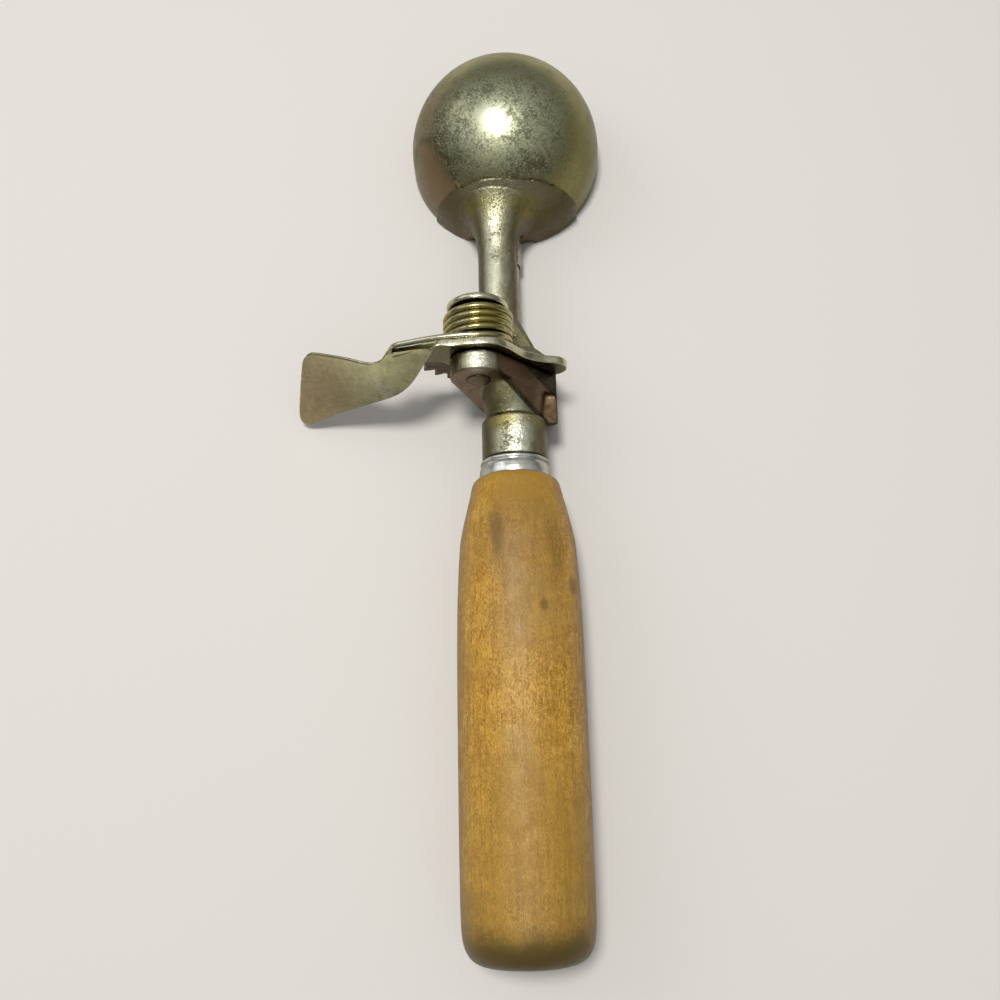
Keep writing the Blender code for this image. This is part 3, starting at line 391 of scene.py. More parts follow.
def edge_group():
    """Worn edges: where the mesh is pointed outwards, broken up by a fine noise."""
    shader, given, out = new_group("worn_edge", [
        ("Vector", "Vector", None), ("Start", "Float", 0.53), ("Full", "Float", 0.60)], [("Mask", "Float")])
    pointed = shader.node("ShaderNodeNewGeometry").outputs["Pointiness"]
    broken = shader.times(shader.minus(shader.noise(given["Vector"], 900.0, 3.0, 0.6), 0.5), 0.05)
    mask = shader.spread(shader.plus(pointed, broken), given["Start"], given["Full"], smooth=False)
    shader.tree.links.new(mask, out["Mask"])
    return shader.tree


def along_group():
    """How far a vector reaches along a direction: nought at the low value, one at the high value."""
    shader, given, out = new_group("reach_along", [
        ("Vector", "Vector", None), ("Direction", "Vector", (0.0, 0.0, 1.0)), ("Low", "Float", 0.2),
        ("High", "Float", 0.8)], [("Mask", "Float")])
    along = shader.vector("DOT_PRODUCT", given["Vector"], given["Direction"])
    shader.tree.links.new(shader.spread(along, given["Low"], given["High"]), out["Mask"])
    return shader.tree


PITTING = pitting_group()
PATCH = patch_group()
WORN_EDGE = edge_group()
ALONG = along_group()


def new_material(name):
    made = bpy.data.materials.new(name)
    made.use_nodes = True
    shader = Shader(made.node_tree)
    principled = made.node_tree.nodes["Principled BSDF"]
    place = shader.node("ShaderNodeTexCoord").outputs["Object"]
    return made, shader, principled, place


def use_group(shader, tree, vector, **values):
    """The outputs of a group that is given a vector and its other values by name."""
    group = shader.node("ShaderNodeGroup", node_tree=tree)
    shader.tree.links.new(vector, group.inputs["Vector"])
    for label, value in values.items():
        group.inputs[label.replace("_", " ")].default_value = value
    return group.outputs


def reach_along(shader, vector, direction, low, high):
    return use_group(shader, ALONG, vector, Direction=direction, Low=low, High=high)["Mask"]


def facing(shader, direction, low, high):
    """Mask of what faces a direction, in the object's own frame."""
    normal = shader.node("ShaderNodeTexCoord").outputs["Normal"]
    return reach_along(shader, normal, direction, low, high)


def in_metres(point):
    return tuple(v * MM for v in point)


def patch(shader, place, centre, reach, soft=0.3, rag=0.5, rag_scale=160.0):
    """Mask of a patch; centre and reach in mm."""
    return use_group(shader, PATCH, place, Centre=in_metres(centre), Reach=in_metres(reach), Soft=soft,
                     Rag=rag, Rag_Scale=rag_scale)["Mask"]


def wear(shader, principled, colour, roughness, height, strength, depth):
    """Links a surface's colour and roughness, and a bump whose full depth is in metres."""
    bump = shader.node("ShaderNodeBump", {"Strength": strength, "Distance": depth, "Height": height})
    for label, value in (("Base Color", colour), ("Roughness", roughness), ("Normal", bump.outputs[0])):
        shader.tree.links.new(value, principled.inputs[label])


def metal(name, clean, dark, tarnish, rough, pits, painted_light_by_facing=(), patches=(), edge=None, edge_start=0.53,
          brushed=None, grain=0.4, painted=None, dull=None):
    """Aged metal: a clean colour, a tarnish in wide areas, dark pits in clouds, patches and worn edges.

    pits = (scale, cloud scale, cover, contrast, depth in metres). Each of painted_light_by_facing = (colour,
    strength, direction, low, high) lays painted light or painted shade over what faces that way. Each patch =
    (colour, strength, centre, reach, softness, raggedness); patches hold tarnish and also painted
    highlights and shade. brushed = scales of a fine streak along x, y and z, and grain is the
    height of the cast skin beside the pits'. painted adds further colours after the patches, and
    dull = (centre, reach, softness) of a place that is rougher.
    """
    made, shader, principled, place = new_material(name)
    scale, cloud, cover, contrast, depth = pits
    pitted = use_group(shader, PITTING, place, Pit_Scale=scale, Cloud_Scale=cloud, Cover=cover,
                       Contrast=contrast)
    wide = shader.noise(place, 45.0, 3.0, 0.55, 0.6)
    stained = shader.mix(shader.spread(wide, 0.42, 0.62), clean, tarnish)
    blotch = shader.noise(place, 320.0, 5.0, 0.65)
    stained = shader.mix(shader.spread(blotch, 0.35, 0.75, 0.0, 0.45), stained, dark)
    for colour, strength, direction, low, high in painted_light_by_facing:
        stained = shader.stain(stained, colour, facing(shader, direction, low, high), strength)
    for colour, strength, centre, reach, soft, rag in patches:
        stained = shader.stain(stained, colour, patch(shader, place, centre, reach, soft, rag), strength)
    if painted is not None:
        stained = painted(shader, place, stained)
    colour = shader.stain(stained, dark, pitted["Mask"], 0.85)
    if edge is not None:
        worn = use_group(shader, WORN_EDGE, place, Start=edge_start, Full=edge_start + 0.07)["Mask"]
        colour = shader.stain(colour, edge, worn, 0.8)
    fine = shader.spread(shader.noise(place, 700.0, 3.0, 0.6), 0.3, 0.7, rough - 0.07, rough + 0.09)
    roughness = shader.plus(fine, shader.times(pitted["Mask"], 0.25), clamp=True)
    if dull is not None:
        roughness = shader.plus(roughness, shader.times(patch(shader, place, *dull), 0.3), clamp=True)
    principled.inputs["Metallic"].default_value = 1.0
    skin = shader.times(shader.noise(place, 1600.0, 3.0, 0.6, 0.3), grain)
    height = shader.plus(pitted["Height"], skin)
    if brushed is not None:
        stretched = shader.node("ShaderNodeMapping", {"Vector": place, "Scale": brushed}).outputs[0]
        height = shader.plus(height, shader.times(shader.noise(stretched, 1.0, 2.0, 0.6), 0.6))
    wear(shader, principled, colour, roughness, height, 0.7, depth)
    return made


def bowl_plate():
    """Nickel plate of the bowl: sage grey, thick with fine pits on its crown, smoother olive rim.

    The pits' cover is high in a wide patch on the crown, in one along its left shoulder and in a small
    one over the socket's edge. Round the key lamp's highlight a painted highlight spot has fewer pits and
    a lighter colour. A smooth brown patch low on the left is bare of pits and ends in a scratchy dark line.
    A painted glow low on the left and a painted glint low on the right lighten the plate, and painted
    shade darkens the sides that turn away from up and the side that faces left.
    """
    made, shader, principled, place = new_material("bowl_plate")
    crown = patch(shader, place, (-3, 228, 14), (21, 17, 20), 0.60, 0.7, 90.0)
    shoulder = patch(shader, place, (-17, 224, 9), (6, 15, 8), 0.6, 0.9, 120.0)
    over_edge = patch(shader, place, (6, 216, 12), (9, 4, 8), 0.6, 0.9, 200.0)
    brown = patch(shader, place, (-24.5, 215, -1), (9.0, 15.0, 11), 0.10, 0.3, 220.0)
    brown_wide = patch(shader, place, (-24.5, 215, -1), (10.4, 16.4, 12.4), 0.08, 0.6, 300.0)
    # painted light: a glow low on the left above the socket's edge and a glint low on the right
    painted_glow = patch(shader, place, (-9, 217, 11), (6, 5, 7), 0.9, 0.3, 90.0)
    painted_glint_low_right = patch(shader, place, (16, 217, 5), (7, 5, 8), 0.9, 0.4, 120.0)
    line = shader.minus(brown_wide, brown, clamp=True)
    thick = shader.math("MAXIMUM", shader.times(crown, 0.50), shader.times(over_edge, 0.62))
    thick = shader.math("MAXIMUM", thick, shader.times(shoulder, 0.62))
    thick = shader.math("MAXIMUM", thick, 0.08)
    thick = shader.times(thick, shader.minus(1.0, shader.times(brown, 0.9)))
    # painted highlight round the key lamp's highlight: fewer pits and a lighter colour there
    painted_highlight_spot = patch(shader, place, (-4.5, 226.5, 17.4), (4.0, 4.2, 5), 0.7, 0.5, 200.0)
    thick = shader.minus(thick, shader.times(painted_highlight_spot, 0.55), clamp=True)
    fine = shader.noise(place, 1750.0, 4.0, 0.78, 0.9)
    cloud = shader.noise(place, 260.0, 4.0, 0.60, 0.5)
    lifted = shader.plus(fine, shader.times(shader.minus(cloud, 0.5), 0.55))
    lifted = shader.plus(lifted, shader.times(thick, 0.40))
    pits = shader.spread(lifted, 0.585, 0.79)
    wide = shader.noise(place, 48.0, 3.0, 0.5, 0.6)
    colour = shader.mix(shader.spread(wide, 0.40, 0.62), (0.43, 0.395, 0.155), (0.355, 0.32, 0.105))
    colour = shader.stain(colour, (0.43, 0.455, 0.32), crown, 0.85)
    colour = shader.stain(colour, (0.56, 0.56, 0.36), painted_glow, 0.5)
    colour = shader.stain(colour, (0.62, 0.63, 0.54), painted_highlight_spot, 0.5)
    # painted shade: darker on the sides that turn away from up and on the side facing left
    sides = facing(shader, UP, 0.84, 0.40)
    colour = shader.stain(colour, (0.165, 0.145, 0.045), sides, 0.93)
    left = facing(shader, LEFT, 0.35, 0.85)
    colour = shader.stain(colour, (0.165, 0.112, 0.048), left, 0.7)
    colour = shader.stain(colour, (0.33, 0.30, 0.14), painted_glint_low_right, 0.5)
    colour = shader.stain(colour, (0.185, 0.125, 0.068), brown, 0.80)
    bright = shader.times(shader.spread(fine, 0.52, 0.36), shader.times(thick, 1.3), clamp=True)
    colour = shader.mix(bright, colour, (0.62, 0.64, 0.48))
    colour = shader.stain(colour, (0.075, 0.080, 0.040), pits, 0.80)
    colour = shader.stain(colour, (0.05, 0.045, 0.022), line, 0.6)
    rough = shader.plus(shader.spread(cloud, 0.3, 0.7, 0.37, 0.44), shader.times(pits, 0.10))
    principled.inputs["Metallic"].default_value = 1.0
    wear(shader, principled, colour, rough, shader.minus(shader.times(fine, 0.8), pits), 0.6, 0.00002)
    return made


def maple():
    """Turned maple: short lengthwise fleck and streaks, gold and brown areas, hand grime, dark butt."""
    made, shader, principled, place = new_material("maple")
    streak_place = shader.node("ShaderNodeMapping", {"Vector": place, "Scale": (1.0, 0.06, 1.0)}).outputs[0]
    fleck_place = shader.node("ShaderNodeMapping", {"Vector": place, "Scale": (1.0, 0.45, 1.0)}).outputs[0]
    streak = shader.noise(streak_place, 900.0, 3.0, 0.6, 0.3)
    fleck = shader.noise(fleck_place, 1500.0, 4.0, 0.72, 2.2)
    mottle = shader.noise(place, 260.0, 4.0, 0.6, 0.8)
    wide = shader.noise(place, 38.0, 3.0, 0.5, 0.5)
    colour = shader.mix(shader.spread(mottle, 0.36, 0.64), (0.60, 0.335, 0.044), (0.45, 0.225, 0.022))
    colour = shader.mix(shader.spread(streak, 0.48, 0.64, 0.0, 0.55), colour, (0.27, 0.125, 0.012))
    colour = shader.mix(shader.spread(fleck, 0.52, 0.60, 0.0, 0.75), colour, (0.21, 0.095, 0.010))
    colour = shader.mix(shader.spread(fleck, 0.47, 0.39, 0.0, 0.65), colour, (0.76, 0.49, 0.13))
    colour = shader.mix(shader.spread(wide, 0.42, 0.66, 0.0, 0.60), colour, (0.335, 0.195, 0.036))
    # Grey brown dirt round the neck end and dark marks in it; the last two patches are painted shade on the
    # butt end
    for grime_and_shade, strength, centre, reach, soft, rag in (
            ((0.26, 0.155, 0.045), 0.62, (1, 103, 15), (10, 14, 9), 0.5, 1.3),
            ((0.33, 0.20, 0.060), 0.55, (3, 82, 15), (10, 12, 9), 0.6, 1.2),
            ((0.13, 0.075, 0.018), 0.60, (-5.6, 104, 14), (1.7, 6.5, 4), 0.6, 1.2),
            ((0.17, 0.095, 0.015), 0.45, (9.5, 99, 12), (2.4, 8, 6), 0.6, 1.5),
            ((0.12, 0.070, 0.015), 0.65, (5.8, 84.3, 15.5), (1.1, 1.5, 3), 0.6, 1.4),
            ((0.12, 0.070, 0.015), 0.55, (13.5, 90, 9), (1.0, 2.2, 3), 0.6, 1.4),
            ((0.36, 0.20, 0.022), 0.50, (0, 120, 0), (40, 8, 40), 0.5, 0.8),
            # painted shade: darker towards the butt end, which turns away from the lamp
            ((0.27, 0.165, 0.035), 0.50, (0, -2, 0), (60, 21.0, 60), 0.10, 0.25),
            ((0.085, 0.058, 0.010), 0.95, (0, -4, 0), (60, 12.5, 60), 0.30, 0.6)):
        mask = patch(shader, place, centre, reach, soft, rag, 130.0)
        colour = shader.stain(colour, grime_and_shade, mask, strength)
    # painted shade: the sides that turn away from up and the butt's front turn are darker
    colour = shader.stain(colour, (0.20, 0.118, 0.020), facing(shader, UP, 0.72, 0.10), 0.75)
    colour = shader.stain(colour, (0.075, 0.048, 0.008), facing(shader, FRONT, 0.15, 0.75), 0.70)
    principled.inputs["Specular IOR Level"].default_value = 0.34
    rough = shader.spread(mottle, 0.3, 0.7, 0.38, 0.52)
    wear(shader, principled, colour, rough, shader.plus(streak, shader.times(fleck, 0.8)), 0.6, 0.00014)
    return made


# Planes of the housing's groove and upper edge, as a direction and a distance in mm from the origin
GROOVE = (0.7498, 0.5993, 0.2802)
GROOVE_AT = 89.7
EDGE = (0.7469, 0.5923, 0.3021)
EDGE_AT = 95.1


def housing_shade_and_reflection(shader, place, colour):
    """Colours of the housing right of the boss: a dark groove, a brown facet and a dark recess.

    They stand in for the real one's small facets: the groove and the recess are painted shade and the
    brown facet is a painted reflection. They lie between the neck's end and the gear slot.
    """
    past_neck = reach_along(shader, place, BACK, 138.8 * MM, 139.1 * MM)
    before_slot = reach_along(shader, place, FRONT, -153.0 * MM, -152.6 * MM)
    past_boss = reach_along(shader, place, RIGHT, -5.0 * MM, -3.6 * MM)
    within = shader.times(shader.times(past_neck, before_slot), past_boss)
    for tint, strength, direction, start, full in (
            # painted shade in the groove
            ((0.030, 0.022, 0.010), 0.88, GROOVE, GROOVE_AT - 0.7, GROOVE_AT - 0.2),
            # painted reflection on the brown facet
            ((0.175, 0.115, 0.065), 0.88, GROOVE, GROOVE_AT + 0.5, GROOVE_AT + 1.3),
            # painted shade in the recess before the gear slot
            ((0.028, 0.024, 0.012), 0.90, EDGE, EDGE_AT, EDGE_AT + 0.5)):
        side = reach_along(shader, place, direction, start * MM, full * MM)
        colour = shader.stain(colour, tint, shader.times(side, within), strength)
    return colour


YELLOW = (0.30, 0.255, 0.055)
# brown of a painted reflection on the casting's front faces
PAINTED_REFLECTION_BROWN = (0.20, 0.125, 0.075)
aged_plate = metal("aged_plate", (0.36, 0.36, 0.25), (0.07, 0.075, 0.04), (0.28, 0.26, 0.13), 0.32,
                   (2000.0, 90.0, 0.5, 1.0, 0.00005))
casting_plate = metal(
    "casting_plate", (0.52, 0.51, 0.36), (0.11, 0.097, 0.045), (0.40, 0.37, 0.20), 0.36,
    (1900.0, 150.0, 0.38, 0.7, 0.00020), grain=1.1, painted=housing_shade_and_reflection,
    dull=((10.5, 139.5, -5), (4.5, 6, 12), 0.2),
    # painted shade on what turns away from up, and a painted brown reflection on the front faces
    painted_light_by_facing=(((0.085, 0.066, 0.028), 0.90, UP, 0.95, 0.55),
               (PAINTED_REFLECTION_BROWN, 0.85, FRONT, 0.72, 0.94)),
    # painted shade: a dark ring in the gap round the stud's end
    patches=(((0.012, 0.010, 0.005), 0.95, (-9.5, 147.1, 11.5), (3.5, 1.0, 3.5), 0.06, 0.05),
             # painted highlights: under the socket's top edge, a streak on the neck, the boss's top and a
             # streak along the shank
             ((0.46, 0.46, 0.32), 0.90, (-2.5, 211.0, 7.0), (9, 5.5, 7), 0.8, 0.4),
             ((0.78, 0.79, 0.66), 0.85, (1.2, 132.0, 9.2), (2.6, 7.5, 3), 0.9, 1.3),
             ((0.74, 0.75, 0.64), 0.85, (-9.3, 149.6, 19.2), (3.4, 2.4, 2.5), 0.9, 0.8),
             ((0.66, 0.67, 0.53), 0.75, (-4.6, 184, 2.3), (1.8, 24, 2), 0.9, 1.0),
             ((0.30, 0.27, 0.15), 0.60, (2, 209.0, 4.0), (16, 7, 8), 0.8, 0.5),
             (YELLOW, 0.60, (-9, 207.8, 2), (4.5, 2.6, 5), 0.6, 1.0),
             (YELLOW, 0.60, (5, 207, 2.7), (4.5, 2.6, 5), 0.6, 1.0),
             (YELLOW, 0.55, (-3, 136.6, 8.5), (5, 2.2, 5), 0.6, 1.2),
             (YELLOW, 0.40, (5, 137.2, 7.5), (4, 2.0, 5), 0.6, 1.2),
             # painted shade: a dark line in the crease at the neck's end, the right side of the neck and
             # wall, and the socket's lower sides
             ((0.07, 0.055, 0.022), 0.75, (0, 138.9, 6), (11, 0.8, 7), 0.5, 0.6),
             ((0.075, 0.050, 0.025), 0.92, (11.5, 143, -3), (4.5, 14, 12), 0.25, 0.5),
             ((0.075, 0.060, 0.024), 0.70, (-18, 207, -6), (11, 10, 11), 0.5, 0.9),
             ((0.065, 0.050, 0.018), 0.80, (16, 206, -7), (12, 10, 12), 0.5, 0.9)))
nickel = metal("yellowed_nickel", (0.58, 0.57, 0.38), (0.22, 0.20, 0.095), (0.50, 0.48, 0.27), 0.26,
               (1500.0, 90.0, 0.22, 0.5, 0.00003), edge=(0.85, 0.85, 0.68), edge_start=0.535,
               # painted light: top rims lighter (painted highlight), front faces and undersides darker
               # (painted shade)
               painted_light_by_facing=(((0.75, 0.74, 0.56), 0.80, UP, 0.93, 0.99),
                          ((0.075, 0.055, 0.020), 0.90, FRONT, 0.93, 0.985),
                          ((0.20, 0.17, 0.08), 0.6, UP, 0.1, -0.4)),
               # painted reflection: the pad's left end is brownish
               patches=(((0.30, 0.215, 0.12), 0.75, (-56, 152, -4), (14, 14, 16), 0.7, 0.3),),
               brushed=(400.0, 400.0, 2600.0))
# the sector's very dark colour is painted shade: it lies in the lever's shadow
sector_steel_painted_shade = metal("sector_steel_painted_shade", (0.070, 0.045, 0.020), (0.025, 0.018, 0.008), (0.050, 0.032, 0.014),
                     0.42, (1200.0, 120.0, 0.5, 0.8, 0.00006), edge=(0.16, 0.13, 0.07), edge_start=0.55)
bright_steel = metal("bright_steel", (0.84, 0.85, 0.82), (0.22, 0.21, 0.16), (0.70, 0.69, 0.62), 0.31,
                     (1600.0, 120.0, 0.30, 0.5, 0.00003), brushed=(300.0, 2600.0, 300.0),
                     # painted shade: the ferrule's sides darker than its top
                     painted_light_by_facing=(((0.18, 0.18, 0.12), 0.85, UP, 0.72, 0.25),))
dull_steel = metal("dull_steel", (0.20, 0.145, 0.085), (0.06, 0.04, 0.02), (0.15, 0.11, 0.055), 0.38,
                   (1400.0, 120.0, 0.40, 0.7, 0.00004))
worn_steel = metal("worn_steel", (0.46, 0.41, 0.32), (0.10, 0.08, 0.045), (0.34, 0.28, 0.19), 0.30,
                   (1400.0, 120.0, 0.35, 0.7, 0.00004))
# very dark washer and sleeve: painted shade in the gaps under the coil and the cap
dark_steel_painted_shade = metal("dark_steel_painted_shade", (0.085, 0.070, 0.030), (0.03, 0.025, 0.010), (0.06, 0.048, 0.018), 0.45,
                    (1400.0, 120.0, 0.40, 0.7, 0.00004))
spring_steel = metal("spring_steel", (0.46, 0.42, 0.22), (0.10, 0.085, 0.025), (0.36, 0.30, 0.075), 0.25,
                     (1500.0, 160.0, 0.34, 0.7, 0.00004),
                     # painted highlight: the lead along the lever's top edge is lighter
                     patches=(((0.66, 0.65, 0.50), 0.85, (-22, 155, 17), (14, 3.0, 8), 0.3, 0.3),
                              ((0.40, 0.33, 0.05), 0.60, (-6, 162, 19), (5, 4, 5), 0.6, 0.6)))
crown_plate = bowl_plate()
wood = maple()


def dress(obj, material, body, slot, *nodes):
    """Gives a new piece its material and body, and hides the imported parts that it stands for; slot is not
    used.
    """
    obj.data.materials.clear()
    obj.data.materials.append(material)
    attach(obj, body)
    if nodes:
        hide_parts(*nodes)
    return obj


def repaint(node, material):
    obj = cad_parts[node]
    obj.data.materials.clear()
    obj.data.materials.append(material)


# Pieces

def handle_profile():
    """Radius of the wood along its length, as the photograph's outline gives it."""
    outline = [(10.9, 121.3), (11.35, 120.9), (11.96, 120.0), (12.86, 116.3), (13.88, 112.0), (14.83, 107.8),
               (15.55, 103.6), (15.85, 99.4), (16.1, 95.3), (16.42, 87.2), (16.62, 75.3), (16.68, 63.6),
               (HANDLE_RADIUS, 41.3), (16.66, 27.1), (16.56, 14.0), (16.4, 8.5), (16.05, 5.6), (15.2, 3.2),
               (13.9, 1.5), (12.2, 0.5), (10.4, 0.08), (9.0, 0.0)]
    line = smooth_path(np.array(outline), 1.2)
    line[:, 0] = np.minimum(line[:, 0], HANDLE_RADIUS)
    line[:, 1] = np.clip(line[:, 1], 0.0, HANDLE_LENGTH)
    bore = 4.5
    bottom = HANDLE_LENGTH - 6.0
    closed = [(0.0, bottom), (bore, bottom), (bore, HANDLE_LENGTH)]
    return np.concatenate([resampled(closed, 3.0), line, [(6.0, 0.0), (3.0, 0.0), (0.0, 0.0)]])


def handle():
    """The turned grip; the ripple takes off up to 0.1 mm, as 0.05 (1 + sin(3 a + 0.035 y))."""
    obj = turned("wooden_handle", handle_profile(), sides=128,
                 ripple=lambda a, y: -0.05 * (1 + np.sin(3 * a + 0.035 * y)) * (y > 6) * (y < 118))
    return dress(obj, wood, "frame", "maple", "handle_grip")


def bowl():
    """Half ball with a straight skirt; radius falls as the cosine of the height angle."""
    up = np.linspace(np.pi / 2, 0, 40)
    outer = np.stack([BOWL_RADIUS * np.cos(up), BOWL_RADIUS * np.sin(up)], axis=1)
    inside = BOWL_RADIUS - BOWL_WALL
    skirt = [(BOWL_RADIUS, -3.0), (BOWL_RADIUS, -6.2), (BOWL_RADIUS - 0.12, -6.5), (BOWL_RADIUS - 0.35, -6.6),
             (inside + 0.25, -6.6), (inside + 0.05, -6.45), (inside, -6.0), (inside, -3.0)]
    inner = outer[::-1] * (inside / BOWL_RADIUS)
    line = np.concatenate([outer, skirt, inner])
    line[0, 0] = 0.0
    line[-1, 0] = 0.0
    sides = 144
    angle = np.linspace(0, 2 * np.pi, sides, endpoint=False)[:, None]
    points = np.stack([line[None, :, 0] * np.cos(angle), BOWL_Y + line[None, :, 0] * np.sin(angle),
                       np.repeat(SHAFT_Z + line[None, :, 1], sides, axis=0)], axis=-1)
    return dress(grid_object("bowl_shell", points), crown_plate, "frame", "aged_plate", "bowl")


def true_rounds(p):
    """Puts the casting's neck, socket and shank back on their true rounds where they are close to them.

    The socket's outer face is then drawn in towards the bowl, all of it on the shell and none at the
    funnel's neck, and what sank into the bowl's place is lifted to the socket's inner face.
    """
    middle = np.array([0.0, BOWL_Y, SHAFT_Z])
    close = 0.22
    away = p - middle
    reach = np.linalg.norm(away, axis=1)
    near = (np.abs(reach - SOCKET_RADIUS + 0.1) < close + 0.06) & (p[:, 1] > 200) & (p[:, 2] > SHAFT_Z)
    p[near] = middle + away[near] * ((SOCKET_RADIUS - 0.08) / reach[near])[:, None]
    for x, z, radius, shrunk, start, end in ((0.0, 0.0, NECK_RADIUS, 0.0, 128.0, 138.0),
                                             (SHANK_X, SHANK_Z, SHANK_RADIUS, 0.05, 162.0, 190.0)):
        across = np.hypot(p[:, 0] - x, p[:, 2] - z)
        side = (np.abs(across - radius + shrunk) < close) & (p[:, 1] > start) & (p[:, 1] < end)
        p[side, 0] = x + (p[side, 0] - x) * radius / across[side]
        p[side, 2] = z + (p[side, 2] - z) * radius / across[side]
    away = p - middle
    reach = np.linalg.norm(away, axis=1)
    rise = np.clip((reach - SOCKET_INNER) / (SOCKET_RADIUS - SOCKET_INNER), 0, 1)
    fade = np.clip((FUNNEL_REACH - reach) / (FUNNEL_REACH - SOCKET_RADIUS), 0, 1)
    drawn = SOCKET_DRAWN * rise * fade ** 2 * (3 - 2 * fade) * (p[:, 1] > 190.0)
    p = p - away * (drawn / np.maximum(reach, 1.0))[:, None]
    away = p - middle
    reach = np.linalg.norm(away, axis=1)
    sunk = (reach < SOCKET_INNER - 0.1) & (p[:, 1] > 190.0) & (p[:, 2] > SHAFT_Z - 4.0)
    p[sunk] = middle + away[sunk] * ((SOCKET_INNER - 0.1) / reach[sunk])[:, None]
    return p


def boss_arm():
    """Flat arm from the boss down to the bottom of the neck: the outline round the boss and two low corners.

    Outline = pivot + boss radius (cos a, sin a) between the two tangents, then straight to the corners;
    it is carried along Y from the arm's front to its back and closed at its middle.
    """
    a = np.linspace(math.radians(20.0), math.radians(193.6), 40)
    round_top = np.stack([PIVOT_X + BOSS_ARM_RADIUS * np.cos(a), PIVOT_Z + BOSS_ARM_RADIUS * np.sin(a)],
                         axis=1)
    outline = np.concatenate([round_top, [(-8.9, -12.6), (-8.0, -13.4), (4.4, -9.0), (5.4, -7.6)]])
    middle = np.full_like(outline, 0.0) + (-5.0, 2.0)
    columns = [np.stack([xz[:, 0], np.full(len(xz), y), xz[:, 1]], axis=1)
               for xz, y in ((middle, BOSS_FACE_Y), (outline, BOSS_FACE_Y), (outline, BOSS_ARM_BACK_Y),
                             (middle, BOSS_ARM_BACK_Y))]
    return grid_object("boss_arm", np.stack(columns, axis=1))


def casting():
    """The casting, with the funnel run smoothly into the socket."""

    def in_fillets(p):
        """One near the funnel's joint with the socket, falling to nought round it."""
        along = np.clip((p[:, 1] - FILLET_START_Y) / 3.0, 0, 1)
        along = along * np.clip((FILLET_END_Y - p[:, 1]) / 2.0, 0, 1)
        across = np.hypot(p[:, 0] - FUNNEL_X, p[:, 2] - SHANK_Z)
        off_shaft = np.hypot(p[:, 0], p[:, 2] - SHAFT_Z) > 6.0
        return np.clip(1.5 * along * np.clip((FILLET_ACROSS - across) / 4.0, 0, 1) * off_shaft, 0, 0.9)

    obj = softened("cast_frame", "frame_casting", boss_arm(), voxel=0.42, rounds=4, start_y=117.0,
                   blend=in_fillets, snap=true_rounds)
    return dress(obj, casting_plate, "frame", "aged_plate", "frame_casting")


def ferrule():
    """A swelling collar with a thin bead at its far end."""
    profile = [(4.6, 121.6), (9.75, 121.6), (9.9, 121.9), (9.9, 123.2), (9.75, 124.4), (9.5, 125.2),
               (9.2, 125.45), (9.2, 125.65), (9.5, 125.8), (9.62, 126.2), (9.5, 126.6), (9.15, 126.8),
               (4.6, 126.8), (4.6, 121.6)]
    obj = turned("steel_ferrule", rounded_corners(profile, 0.12, 3), sides=112)
    return dress(obj, bright_steel, "frame", "bright_steel", "ferrule")


def along_pivot(node):
    """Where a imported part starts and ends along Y, in mm."""
    low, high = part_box(node)
    return low.y / MM, high.y / MM


def ring_profile(outer, low, high, far_bevel, near_bevel):
    """A ring on the stud between two places along Y; each bevel is given as (across, along)."""
    bore = 3.2
    return [(bore, high), (outer - far_bevel[0], high), (outer, high - far_bevel[1]),
            (outer, low + near_bevel[1]), (outer - near_bevel[0], low), (bore, low), (bore, high)]


def stud_pieces():
    """Stud, washer, sleeve and cap, all turned round the lever's pivot line."""
    pivot = (PIVOT_X, PIVOT_Z)
    low, high = along_pivot("pivot_stud")
    low -= STUD_PROUD
    head = high - 0.9
    profile = [(0.0, high), (2.4, high), (3.7, high - 0.25), (4.2, high - 0.6), (4.2, head), (2.95, head),
               (2.95, low + 0.2), (2.8, low), (0.0, low)]
    stud = turned("stud", rounded_corners(profile, 0.2), pivot, 64)
    dress(stud, dull_steel, "frame", "bright_steel", "pivot_stud")
    profile = ring_profile(7.3, *along_pivot("spring_washer"), (0.15, 0.15), (0.15, 0.15))
    dress(turned("washer", profile, pivot), dark_steel_painted_shade, "frame", "bright_steel", "spring_washer")
    profile = ring_profile(7.3, *along_pivot("spring_sleeve"), (0.3, 0.3), (0.3, 0.3))
    dress(turned("sleeve", profile, pivot), dark_steel_painted_shade, "frame", "spring_steel", "spring_sleeve")
    profile = ring_profile(8.6, *along_pivot("stud_cap"), (0.7, 0.5), (0.4, 0.5))
    cap = turned("cap", rounded_corners(profile, 0.35, 5), pivot)
    dress(cap, nickel, "frame", "spring_steel", "stud_cap")


# The spring's wire and coil, in mm
LEAD_RADIUS = 0.72
WIRE_RADIUS = 0.95
COIL_RADIUS = 8.7
COIL_PITCH = 1.982
COIL_TURNS = 4.25
COIL_START_Y = 156.35
COIL_STEP_OFF = 0.55  # extra step along Y in the first quarter turn
COIL_LEAN = 0.55
LAST_HALF_TURN_OUT = 0.25  # by which the last half turn widens
FIXED_LEG_BOTTOM = -1.6


